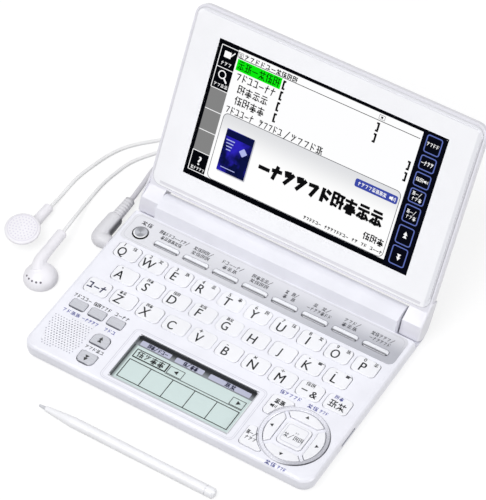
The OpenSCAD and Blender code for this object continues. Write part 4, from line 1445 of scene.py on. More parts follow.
@dataclass(frozen=True)
class Route:
    """Line that a cord's middle follows, given by points in millimetres."""

    points: Sequence[Vector]

    @classmethod
    def of(cls, *points: Sequence[float]) -> Route:
        """Route through points written in millimetres."""
        return cls([Vector(point) * MM for point in points])

    def smooth(self, steps: int) -> list[Vector]:
        """The route as a smooth curve.

        Args:
            steps: Steps for each stretch between two points.

        Returns:
            Points along the curve.
        """
        line = []
        last = len(self.points) - 1
        for i in range(last):
            a, b, c, d = (self.points[min(max(i + k, 0), last)] for k in (-1, 0, 1, 2))
            square, cube = 2 * a - 5 * b + 4 * c - d, 3 * b - a - 3 * c + d
            for t in (k / steps for k in range(steps)):
                line.append((2 * b + (c - a) * t + square * t**2 + cube * t**3) / 2)
        return [*line, self.points[-1]]


def length_of(line: Sequence[Vector]) -> float:
    """Length of a line through points."""
    return sum((b - a).length for a, b in zip(line, line[1:]))


Station = tuple[Sequence[float], Sequence[float], float]


@dataclass
class Earphones:
    """Plug, lead with its coil and split, and two earbuds, all white.

    Sizes of the coil and the cords are in metres. Those of the plug, the buds and the routes are in
    millimetres: a station or a profile gives a height and a radius, and a stem a middle and a radius.
    """

    lead_d: float = 2.5 * MM
    branch_d: float = 1.7 * MM
    steps: int = 6
    coil_middle: Vector = field(default_factory=lambda: Vector((-30, 115, 0)) * MM)
    coil_radius: float = 19.65 * MM
    coil_pitch: float = 2.95 * MM
    layer_turns: int = 4
    coil_tail: float = 8 * MM
    tie_t: float = 0.45 * MM
    split_l: float = 10 * MM
    branch_side: float = 1.5 * MM
    turn_steps: int = 48
    plug_middle: Point = (-80.4, 18.6, 4.05)
    plug_bend: float = 1.4
    leg_r: float = 3.85
    grip_stations: tuple[Pair, ...] = ((14.8, 3.0), (14.5, 3.5), (13.6, 3.85), (8, 3.95), (2.6, 3.95))
    leg_end: tuple[Pair, ...] = ((-75.6, 3.55), (-73.75, 3.15))
    plug_voxel: float = 0.3 * MM
    ribs: int = 7
    sleeve_span: Pair = (13.8, 26.2)
    sleeve_r: float = 2.75
    sleeve_taper: float = 0.3
    rib_depth: float = 0.5
    bud_voxel: float = 0.28 * MM
    face_lean: float = math.radians(9)
    face_side: Pair = (0.528, -0.849)
    hole_rings: int = 4
    hole_pitch: float = 1.45
    hole_r: float = 0.36
    face_height: float = 0.12
    face_crease_shade: Pair = (7.0, 0.22)
    vents: int = 5
    vent_start: float = math.radians(-129)
    vent_step: float = math.radians(18.8)
    vent_ring: float = 6.25
    vent_r: float = 0.5
    stem_r: float = 3.3
    stem_taper: float = 0.7
    stem_sides: int = 24
    lead_points: tuple[Point, ...] = (
        (-80.4, 44.6, 4.05), (-80.6, 49, 3.7), (-81.3, 54, 3.0), (-82.1, 60, 2.2), (-82.9, 66, 1.6),
        (-82.9, 72, 1.3), (-80.5, 79, 1.3), (-75.5, 85, 1.3), (-69, 89.5, 1.3), (-62, 92.6, 1.4),
        (-55, 94.4, 1.9), (-48, 95.2, 3.0),
    )
    first_points: tuple[Point, ...] = (
        (-110.3, 21.0, 2.6), (-110.35, 26, 2.1), (-110.7, 33, 1.0), (-110.7, 45, 0.85),
        (-108.9, 55.5, 0.85), (-105.4, 67.5, 0.85), (-100.1, 76.8, 0.85), (-91, 86.3, 0.85),
        (-83, 95, 0.85), (-76, 106, 0.85), (-69, 119, 0.85), (-60, 132, 0.85), (-46, 142, 0.85),
        (-28, 145.5, 0.85), (-10, 142.5, 0.85), (4.5, 131.5, 0.85), (9.5, 115, 0.85), (6, 101.5, 0.85),
        (-4.5, 94.2, 1.3),
    )
    second_points: tuple[Point, ...] = (
        (-94.05, 6.3, 6.3), (-94.9, 12, 6.0), (-95.8, 19, 5.0), (-97.1, 27.5, 3.1), (-98.2, 36, 1.4),
        (-98.5, 48.6, 0.85), (-97, 59, 0.85), (-94.4, 68.2, 0.85), (-87.8, 78.8, 0.85), (-79.5, 87.5, 0.85),
        (-72, 99, 0.85), (-66, 113, 0.85), (-57.5, 127, 0.85), (-45, 137, 0.85), (-29, 141, 0.85),
        (-12.5, 138, 0.85), (0.5, 128, 0.85), (5, 114.5, 0.85), (1.5, 104, 0.85), (-6, 97.7, 1.3),
    )
    first_bud: Point = (-110.6, 2.2, 8.75)
    first_stem: tuple[Point, ...] = (
        (3.0, 3.6, 2.9), (9.0, 3.1, 2.6), (16.0, 2.75, 2.45), (22.9, 2.75, 2.4), (23.1, 2.75, 2.2),
    )
    open_profile: tuple[Pair, ...] = (
        (0.12, 3.0), (0.05, 6.9), (-0.15, 7.8), (-0.7, 8.3), (-1.3, 8.3), (-1.9, 7.6), (-3.5, 6.2),
        (-5.2, 4.7), (-6.6, 3.1), (-7.5, 1.6),
    )
    second_bud: Pair = (-90.9, -12.6)
    closed_profile: tuple[Pair, ...] = (
        (0.05, 6.8), (0.3, 7.7), (0.7, 8.0), (1.4, 8.05), (2.6, 7.8), (4.0, 7.1), (5.3, 6.0), (6.4, 4.6),
        (7.2, 3.0), (7.6, 1.5),
    )
    second_stem: tuple[Point, ...] = (
        (-92.0, -13.5, 5.2), (-94.0, -8.3, 6.4), (-94.5, 1.0, 6.5), (-94.95, 10.8, 6.15),
    )

    @property
    def low(self) -> float:
        """Height of the coil's lower layer."""
        return self.tie_t + self.lead_d / 2

    @property
    def branch_start(self) -> Vector:
        """Middle of the split's far end, where the two branches leave it."""
        reach = self.coil_tail + self.split_l
        return self.coil_middle + Vector((reach, -self.coil_radius, self.low))

    def coil_point(self, turn: float) -> Vector:
        """Place on the coil, in along the upper layer and out along the lower one.

        Args:
            turn: Turns from its outer end on the upper layer.

        Returns:
            The place.
        """
        inner = self.coil_radius - self.layer_turns * self.coil_pitch
        inward = turn < self.layer_turns
        spread = self.coil_radius - turn * self.coil_pitch
        radius = spread if inward else inner + (turn - self.layer_turns) * self.coil_pitch
        fall = min(max((turn - self.layer_turns + 0.25) * 2, 0), 1)
        height = self.low + self.coil_pitch * (1 + math.cos(math.pi * fall)) / 2
        angle = math.tau * turn
        return self.coil_middle + Vector((radius * math.sin(angle), -radius * math.cos(angle), height))

    def lead_line(self) -> list[Vector]:
        """Line of the lead from the plug's sleeve through the coil to the split.

        Returns:
            Points along it.
        """
        x, front, z = (self.coil_middle + Vector((0, -self.coil_radius, self.low + self.coil_pitch))) / MM
        onto_coil = (-41, front, 4.2), (x - 5, front, z), (x - 2.5, front, z)
        route = Route.of(*self.lead_points, *onto_coil)
        count = 2 * self.layer_turns * self.turn_steps
        coil = [self.coil_point(i / self.turn_steps) for i in range(count + 1)]
        tail = [coil[-1] + Vector((self.coil_tail * part, 0, 0)) for part in (0.5, 1)]
        return [*route.smooth(self.steps), *coil, *tail]

    def branch_lines(self) -> list[list[Vector]]:
        """Lines of the two branches from the earbuds to the split.

        Returns:
            Points along each.
        """
        start = self.branch_start
        ends = [(start + Vector((0, side * self.branch_side, 0))) / MM for side in (-1, 1)]
        routes = zip((self.first_points, self.second_points), ends)
        return [Route.of(*points, end).smooth(self.steps) for points, end in routes]

    def tube(self, name: str, line: Sequence[Vector], diameter: float, finish: Moulding) -> Piece:
        """Round cord along a line, as a curve of one open spline.

        Args:
            name: The piece's name.
            line: Points along its middle.
            diameter: Its thickness in metres.
            finish: What it is dressed in.

        Returns:
            The piece, which rides with the earphones.
        """
        data = bpy.data.curves.new(name, "CURVE")
        data.dimensions = "3D"
        data.bevel_depth = diameter / 2
        data.bevel_resolution = 3
        data.use_fill_caps = True
        spline = data.splines.new("POLY")
        spline.points.add(len(line) - 1)
        for point, place in zip(spline.points, line):
            point.co = (*place, 1)
        spline.use_smooth = True
        piece = placed(name, data)
        data.materials.append(Paint.of(finish))
        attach(piece, "earphones")
        LOG.info("%s: %.3f m long", name, length_of(line))
        return piece

    def loft(self, mesh: bmesh.types.BMesh, stations: Sequence[Station], sides: int = 40) -> None:
        """Adds a closed round body through its stations.

        Args:
            mesh: Geometry that the body is added to.
            stations: Middle, direction and radius of each ring, in millimetres.
            sides: Points of each ring.
        """
        rings = []
        for middle, along, radius in stations:
            place = Matrix.Translation(Vector(middle) * MM) @ turned(Vector(along))
            made = bmesh.ops.create_circle(mesh, segments=sides, radius=radius * MM, matrix=place)
            rings.append(list({edge for point in made["verts"] for edge in point.link_edges}))
        for ring, following in zip(rings, rings[1:]):
            bmesh.ops.bridge_loops(mesh, edges=[*ring, *following])
        for ring in (rings[0], rings[-1]):
            bmesh.ops.holes_fill(mesh, edges=ring, sides=sides)

    def melted(self, mesh: bmesh.types.BMesh, name: str, finish: Finish, voxel: float, rounds: int) -> Piece:
        """Melts overlapping bodies into one soft-edged moulding.

        Args:
            mesh: The bodies, which are freed.
            name: The piece's name.
            finish: What it is dressed in.
            voxel: Size of the grid it is melted on, in metres.
            rounds: How often its surface is smoothed.

        Returns:
            The piece, which rides with the earphones.
        """
        bmesh.ops.recalc_face_normals(mesh, faces=mesh.faces)
        rough = finished(mesh, f"{name}_rough")
        melt = rough.modifiers.new("melt", "REMESH")
        melt.mode = "VOXEL"
        melt.voxel_size = voxel
        soften = rough.modifiers.new("soften", "SMOOTH")
        soften.iterations = rounds
        data = bpy.data.meshes.new_from_object(rough.evaluated_get(bpy.context.evaluated_depsgraph_get()))
        bpy.data.objects.remove(rough)
        for face in data.polygons:
            face.use_smooth = True
        piece = placed(name, data)
        data.materials.append(Paint.of(finish))
        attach(piece, "earphones")
        return piece

    def plug(self) -> list[Piece]:
        """Makes the elbow plug's grip and its ribbed sleeve.

        Returns:
            The two pieces.
        """
        x, y, z = self.plug_middle
        bend = self.plug_bend
        stations = [((x, y + rise, z), (0, -1, 0), radius) for rise, radius in self.grip_stations]
        for angle in range(0, 91, 15):
            turn = math.radians(angle)
            middle = (x + bend * (1 - math.cos(turn)), y + bend * (1 - math.sin(turn)), z)
            stations.append((middle, (math.sin(turn), -math.cos(turn), 0), self.leg_r))
        stations += [((end, y, z), (1, 0, 0), radius) for end, radius in self.leg_end]
        body = bmesh.new()
        self.loft(body, stations)
        grip = self.melted(body, "plug_grip", Paint.GRIP, self.plug_voxel, 8)
        ribs = bmesh.new()
        count = self.ribs * 4
        start, end = (y + rise for rise in self.sleeve_span)
        stations = []
        for i in range(count + 1):
            radius = self.sleeve_r - self.sleeve_taper * i / count - (self.rib_depth if i % 4 == 3 else 0)
            stations.append(((x, start + (end - start) * i / count, z), (0, 1, 0), radius))
        self.loft(ribs, stations)
        bmesh.ops.recalc_face_normals(ribs, faces=ribs.faces)
        sleeve = finished(ribs, "plug_sleeve", smooth=True)
        sleeve.data.materials.append(Paint.of(Paint.PLUG))
        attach(sleeve, "earphones")
        return [grip, sleeve]

    def lying_bud(self) -> Piece:
        """Makes the earbud that lies face up, leaning a little to the front, with its holes and a ring of painted
        shade round its face.

        Returns:
            The earbud without the print of its holes and its painted shade ring.
        """
        level = math.sin(self.face_lean)
        out = Vector((*(side * level for side in self.face_side), math.cos(self.face_lean)))
        right = Y_AXIS.cross(out).normalized()
        face = Vector(self.first_bud)
        body = bmesh.new()
        self.loft(body, [(face + out * height, out, radius) for height, radius in self.open_profile])
        stem = [((self.first_bud[0], y, z), (0, 1, 0), radius) for y, z, radius in self.first_stem]
        self.loft(body, stem, self.stem_sides)
        bud = self.melted(body, "left_bud", Paint.BUD, self.bud_voxel, 6)
        plane = Plane((face + out * self.face_height) * MM, right, out.cross(right))
        holes = Print("left_bud_holes", plane, Paint.BUD_HOLE, "earphones")
        for ring in range(1, self.hole_rings + 1):
            radius = ring * self.hole_pitch
            for k in range(ring * 6):
                angle = math.tau * (k + ring * 0.3) / (ring * 6)
                holes.lay(Disc(radius * math.cos(angle), radius * math.sin(angle), self.hole_r))
        # The ring round the face is painted shade in the crease between the rim and the face.
        holes.lay(Ring(0, 0, *self.face_crease_shade)).done()
        return bud

    def standing_bud(self) -> Piece:
        """Makes the earbud that lies face down, with five vents in its back.

        Returns:
            The earbud without the prints of its vents.
        """
        x, y = self.second_bud
        body = bmesh.new()
        self.loft(body, [((x, y, height), (0, 0, 1), radius) for height, radius in self.closed_profile])
        line = Route([Vector(place) for place in self.second_stem]).smooth(self.steps)
        last = len(line) - 1
        stem = []
        for i, point in enumerate(line):
            along = line[min(i + 1, last)] - line[max(i - 1, 0)]
            stem.append((point, along, self.stem_r - self.stem_taper * min(1, 1.6 * i / last)))
        self.loft(body, stem, self.stem_sides)
        bud = self.melted(body, "right_bud", Paint.BUD, self.bud_voxel, 8)
        for k in range(self.vents):
            angle = self.vent_start + self.vent_step * k
            above = Vector((x + self.vent_ring * math.cos(angle), y + self.vent_ring * math.sin(angle), 20)) * MM
            _, place, out, _ = bud.ray_cast(above, -Z_AXIS)
            right = Y_AXIS.cross(out).normalized()
            vent = Artwork(f"right_bud_vent_{k + 1}", Paint.BUD_VENT, (Disc(0, 0, self.vent_r),))
            vent.put(Plane(place, right, out.cross(right)), "earphones")
        return bud

    def build(self) -> None:
        """Makes the plug, the buds and the cords, and hides the carried-over nodes that they take the place of."""
        plug = self.plug()
        for piece in plug:
            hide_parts("plug_body")
        buds = [self.lying_bud(), self.standing_bud()]
        for piece in buds:
            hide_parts("earbud_shells", "earbud_caps")
        line = self.lead_line()
        lead = self.tube("lead", line, self.lead_d, Paint.THICK_CORD)
        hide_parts("main_cord", "cord_coil")
        length_of(line)
        for side, branch, bud in zip(("left", "right"), self.branch_lines(), buds):
            cord = self.tube(f"{side}_branch", branch, self.branch_d, Paint.CORD)
            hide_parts("branch_cords")
            length_of(branch)


@dataclass(frozen=True)
class LetterRow:
    """One row of letter keys with what is printed on it.

    The places of the letter, the sign and the corner mark are measured from a key's middle.
    """

    node: str
    letters: str
    signs: str
    corners: str
    key_w: float = 11.7
    letter: Pair = (-1.65, -0.85)
    cap: float = 5.0
    weight: float = 0.13
    narrow: float = 0.88
    round_narrow: float = 0.78
    round_letters: str = "OQGC"
    hooked_share: float = 0.84
    hooked_lift: float = 0.45
    sign: Pair = (-2.5, 3.0)
    digit_cap: float = 1.9
    sign_cap: float = 2.6
    sign_weight: float = 0.14
    dot_r: float = 0.34
    corner: Pair = (3.0, 2.75)

    @property
    def places(self) -> list[Pair]:
        """Places of the keys.

        Returns:
            Middle of each key in millimetres.
        """
        box = Box(self.node)
        pitch = (box.size.x / MM - self.key_w) / (len(self.letters) - 1)
        return [(box.low.x / MM + self.key_w / 2 + i * pitch, box.middle.y / MM) for i in range(len(self.letters))]

    def art(self, i: int, x: float, y: float) -> list[Shape]:
        """What is printed on one key.

        Args:
            i: Number of the key, from 0.
            x: Middle of the key.
            y: Middle of the key.

        Returns:
            The letter, with the hook of a J held above the line, and the signs round it.
        """
        letter, sign, corner = self.letters[i], self.signs[i], self.corners[i]
        narrow = self.round_narrow if letter in self.round_letters else self.narrow
        cap, lift = (self.cap * self.hooked_share, self.hooked_lift) if letter == "J" else (self.cap, 0)
        shapes = [Word(letter, x + self.letter[0], y + self.letter[1] + lift, cap, self.weight, narrow)]
        left, above = x + self.sign[0], y + self.sign[1]
        if sign == "~":
            shapes.append(Marks(left + 0.9, above, 3.4, 1.7, "dd", i, 0.15))
        elif sign == ".":
            shapes.append(Disc(left, above, self.dot_r))
        elif sign != " ":
            cap = self.digit_cap if sign.isdigit() else self.sign_cap
            shapes.append(Word(sign, left, above, cap, self.sign_weight))
        right, above = x + self.corner[0], y + self.corner[1]
        if corner == "k":
            shapes.append(Marks(right, above, 2.1, 2.0, "d", i + 2, 0.14))
        elif corner == "i":
            shapes += [Bar(right, above, 1.7, 1.5, 0.2), Bar(right + 1.3, above + 0.4, 0.8, 0.35)]
        return shapes

    def build(self) -> None:
        """Prints the row."""
        plane = Plane(Vector((0, 0, Box(self.node).top)))
        ink = Print(f"{self.node}_print", plane, Paint.DARK_INK, self.node)
        for i, (x, y) in enumerate(self.places):
            ink.lay(*self.art(i, x, y))
        ink.done()


@dataclass(frozen=True)
class Keyboard:
    """Prints on the keys below the silver panel and on the deck between them.

    Key art is measured from the middle of its key, all other art from the desk's origin.
    """

    rows: tuple[LetterRow, ...] = (
        LetterRow("upper_letter_keys", "QWERTYUIOP", "1234567890", "kkkkkkkkkk"),
        LetterRow("middle_letter_keys", "ASDFGHJKL", ".~~~~  .-", "       ii"),
        LetterRow("lower_letter_keys", "ZXCVBNM", "~~ +-×÷", "       "),
    )
    wide_keys: tuple[str, ...] = ("shift_key", "symbol_key", "delete_key")
    # Pale rings of painted light in the key gaps: their depth below the deck, spread, width and corner.
    gap_light_sink: float = 0.12 * MM
    gap_light_spread: float = 0.7
    gap_light_w: float = 0.33
    gap_light_corner: float = 2.3
    key_art: NodeArt = (
        ("shift_key", Paint.NIGHT_INK, (Marks(-0.3, -0.4, 9.8, 3.9, "lll", 4, 0.17),)),
        (
            "symbol_key",
            Paint.DARK_INK,
            (Marks(-1.3, 2.8, 4.6, 2.0, "dd", 2, 0.14), Bar(-2.4, -0.9, 2.9, 0.6), Word("&", 2.6, -1.3, 3.8, 0.2)),
        ),
        ("delete_key", Paint.DARK_INK, (Marks(0.2, -0.9, 8.6, 4.1, "dd", 4, 0.12),)),
        ("delete_key", Paint.VIOLET_INK, (Marks(-0.9, 2.9, 4.6, 1.9, "dd", 1, 0.15),)),
        ("page_up_key", Paint.BLACK_INK, (Double(-0.2, 0, 1.2, Facing.UP),)),
        ("page_down_key", Paint.BLACK_INK, (Double(-0.2, 0, 1.2, Facing.DOWN),)),
    )
    arrow_reach: float = 11.1
    arrow_r: float = 1.05
    enter_art: NodeArt = (
        (
            "enter_key",
            Paint.GREY_INK,
            (Marks(0.6, 1.4, 1.8, 1.0, "ll", 1), Marks(0.3, -1.2, 9.6, 2.5, "dsdd", 3)),
        ),
        ("enter_key", Paint.SOFT_INK, (Frame(0, 0, 9.9, 9.9, 0.3, 1.4),)),
    )
    voice_art: tuple[Shape, ...] = (Marks(40.5, -21.3, 5.0, 2.5, "dd", 5, 0.2), Loudspeaker(38.9, -24.3, 2.8))
    back_art: tuple[Shape, ...] = (
        Marks(38.8, -41.7, 5.2, 2.2, "dls", 4, 0.14),
        Marks(39.8, -44.5, 5.6, 2.1, "lll", 2, 0.14),
    )
    small_key_art: tuple[tuple[Marks, Marks], ...] = (
        (Marks(-0.7, 4.45, 9.6, 2.1, "lllll", 0, 0.15), Marks(-0.6, -5.2, 9.4, 2.0, "lldd", 0, 0.16)),
        (Marks(-0.1, 4.45, 9.3, 2.1, "ddlll", 2, 0.15), Marks(-0.4, -5.2, 8.6, 2.0, "lllll", 3, 0.16)),
        (Marks(0.3, 4.45, 7.6, 2.1, "llll", 4, 0.15), Marks(0, -5.2, 6.0, 2.0, "lll", 6, 0.16)),
    )
    deck_dark: Marks = Marks(-43.7, -39.2, 9.8, 1.9, "llldl", 1, 0.15)
    deck_violet: tuple[Marks, ...] = (
        Marks(42.5, -15.4, 10.6, 2.2, "dllll", 2, 0.15),
        Marks(53.8, -15.9, 5.4, 2.2, "dd", 3, 0.15),
        Marks(59.3, -15.9, 4.2, 1.9, "lll", 1, 0.15),
        Marks(53.7, -50.8, 5.4, 2.2, "dd", 3, 0.15),
        Marks(59.2, -50.8, 4.2, 1.9, "lll", 1, 0.15),
    )
    # Two grey lines round the window: painted shade at the edges of a slightly raised frame.
    border: tuple[Frame, ...] = (
        Frame(-0.55, -34.3, 68.4, 31.2, 0.3, 2.6),
        Frame(-0.55, -34.3, 66.6, 29.6, 0.18, 1.8),
    )

    def keys(self, art: NodeArt) -> None:
        """Prints art on keys, given by node, ink and shapes."""
        for node, ink, shapes in art:
            Artwork(f"{node}_{ink.name}", ink, shapes).put(Plane.on_top(node, middle=True), node)

    def pad(self) -> None:
        """Prints the cursor pad, the enter key and the two keys beside it."""
        middle = Box("enter_key").middle / MM
        for facing in (Facing.UP, Facing.RIGHT, Facing.DOWN, Facing.LEFT):
            node = f"cursor_{facing.name.lower()}_key"
            outward = Matrix.Rotation(math.radians(facing.value), 2) @ Vector((0, self.arrow_reach))
            arrow = Triangle(middle.x + outward.x, middle.y + outward.y, self.arrow_r, facing)
            Artwork(f"{node}_print", Paint.BLACK_INK, (arrow,)).put(Plane.on_top(node), node)
        self.keys(self.enter_art)
        plane = Plane.on_top("voice_key")
        Artwork("voice_key_print", Paint.DARK_INK, self.voice_art).put(plane, "voice_key")
        Artwork("back_key_print", Paint.DARK_INK, self.back_art).put(plane, "back_key")

    def deck(self) -> None:
        """Prints the words beside the keys, dark ones and blue-violet ones, and the window's border of painted
        shade.
        """
        plane = Plane.on_top("base_top_cover")
        dark = Print("deck_marks", plane, Paint.DARK_INK, "base")
        violet = Print("deck_blue_marks", plane, Paint.VIOLET_INK, "base")
        for i, (upper, lower) in enumerate(self.small_key_art):
            middle = Box(f"small_key_{i + 1}").middle / MM
            dark.lay(upper.moved(middle.x, middle.y))
            violet.lay(lower.moved(middle.x, middle.y))
        dark.lay(self.deck_dark).done()
        violet.lay(*self.deck_violet).done()
        # Painted shade of the raised frame round the window.
        Artwork("window_border", Paint.SOFT_INK, self.border).put(plane, "base")

    def gap_lights(self) -> None:
        """Lays a pale ring in the gap round each letter key and wide key, just below the deck: painted light that
        lightens the gaps' shade.
        """
        plane = Plane(Vector((0, 0, Box("base_top_cover").top - self.gap_light_sink)))
        gap_lights = Print("key_lips", plane, Paint.GAP_LIGHT, "base")
        for row in self.rows:
            deep = Box(row.node).size.y / MM
            gap_lights.lay(*(self.gap_light(x, y, row.key_w, deep) for x, y in row.places))
        for node in self.wide_keys:
            box = Box(node)
            middle, size = box.middle / MM, box.size / MM
            gap_lights.lay(self.gap_light(middle.x, middle.y, size.x, size.y))
        gap_lights.done()

    def gap_light(self, x: float, y: float, wide: float, deep: float) -> Frame:
        """Pale ring of painted light round a key of that middle and size."""
        return Frame(x, y, wide + self.gap_light_spread, deep + self.gap_light_spread, self.gap_light_w, self.gap_light_corner)

    def build(self) -> None:
        """Prints everything on the keyboard."""
        self.gap_lights()
        for row in self.rows:
            row.build()
        self.keys(self.key_art)
        self.pad()
        self.deck()


@dataclass(frozen=True)
class SpeakerField:
    """Rows of small dots that carry the grille's pattern on across the deck."""

    pitch: float = 1.45
    row_share: float = 0.87
    reach: float = 12
    dot_r: float = 0.3
    edge_margin: float = 0.3
    grille_margin: float = 2
    middle: Pair = (-60.0, -37.5)
    grille: tuple[Pair, ...] = ((-69.7, -30.8), (-50.9, -27.9), (-51.4, -45.3), (-67.0, -47.2))
    field: tuple[Pair, ...] = (
        (-70.2, -36.0), (-69.9, -30.4), (-51.0, -28.6), (-49.6, -39.0), (-50.8, -47.4), (-66.6, -48.2),
    )

    def inside(self, x: float, y: float, corners: Sequence[Pair], margin: float) -> bool:
        """Whether a place lies further inside corners than a margin.

        Args:
            x: Millimetres to the right.
            y: Millimetres to the rear.
            corners: Corners of the outline, clockwise.
            margin: Least distance from its edges.

        Returns:
            True if it does.
        """
        for (ax, ay), (bx, by) in zip(corners, (*corners[1:], corners[0])):
            edge = Vector((bx - ax, by - ay))
            if (edge.y * (x - ax) - edge.x * (y - ay)) / edge.length <= margin:
                return False
        return True

    def build(self) -> None:
        """Prints the dots round the drilled ones."""
        dots = Print("grille_dots", Plane.on_top("base_top_cover"), Paint.GRILLE_DOT, "base")
        count = math.ceil(self.reach / self.pitch)
        for i in range(-count, count + 1):
            for j in range(-count, count + 1):
                x = self.middle[0] + (i + 0.5 * (j % 2)) * self.pitch
                y = self.middle[1] + j * self.pitch * self.row_share
                in_field = self.inside(x, y, self.field, self.edge_margin)
                if in_field and not self.inside(x, y, self.grille, self.grille_margin):
                    dots.lay(Disc(x, y, self.dot_r))
        dots.done()


@dataclass(frozen=True)
class FunctionPanel:
    """Two lines of marks above each function key, given by width and kinds, and one above the power key."""

    upper: tuple[tuple[float, str], ...] = (
        (15.4, "ddllllllls"), (10.2, "dddds"), (11.4, "llllls"), (10.6, "dddds"), (6.6, "d ds"),
        (8.8, "d ds"), (8.4, "llls"), (11.6, "ddllls"),
    )
    lower: tuple[tuple[float, str], ...] = (
        (11.0, "dddddd"), (9.4, "dddd"), (7.6, "ddd"), (9.6, "dddd"), (6.2, "d d"), (12.6, "lllldll"),
        (7.8, "ddd"), (10.6, "llllll"),
    )
    upper_place: Pair = (-0.2, 6.9)
    lower_place: Pair = (-0.3, 4.25)
    high: float = 2.1
    weight: float = 0.13
    power: Marks = Marks(0, 5.9, 5.8, 2.4, "dd", 3, 0.14)
    line_inset: Pair = (2.2, 1.6)
    line_w: float = 0.12
    line_corner: float = 3

    def build(self) -> None:
        """Prints the panel."""
        plane = Plane.on_top("function_panel")
        ink = Print("panel_marks", plane, Paint.GREY_INK, "base")
        for i, (upper, lower) in enumerate(zip(self.upper, self.lower)):
            key = Box(f"function_key_{i + 1}").middle / MM
            lines = (self.upper_place, *upper, i * 2 + 1), (self.lower_place, *lower, i * 3)
            for place, wide, kinds, first in lines:
                ink.lay(Marks(*place, wide, self.high, kinds, first, self.weight).moved(key.x, key.y))
        key = Box("power_key").middle / MM
        ink.lay(self.power.moved(key.x, key.y)).done()
        box = Box("function_panel")
        middle, size = box.middle / MM, box.size / MM
        wide, high = size.x - self.line_inset[0], size.y - self.line_inset[1]
        line = Frame(middle.x, middle.y, wide, high, self.line_w, self.line_corner)
        Artwork("panel_line", Paint.PANEL_LINE, (line,)).put(plane, "base")


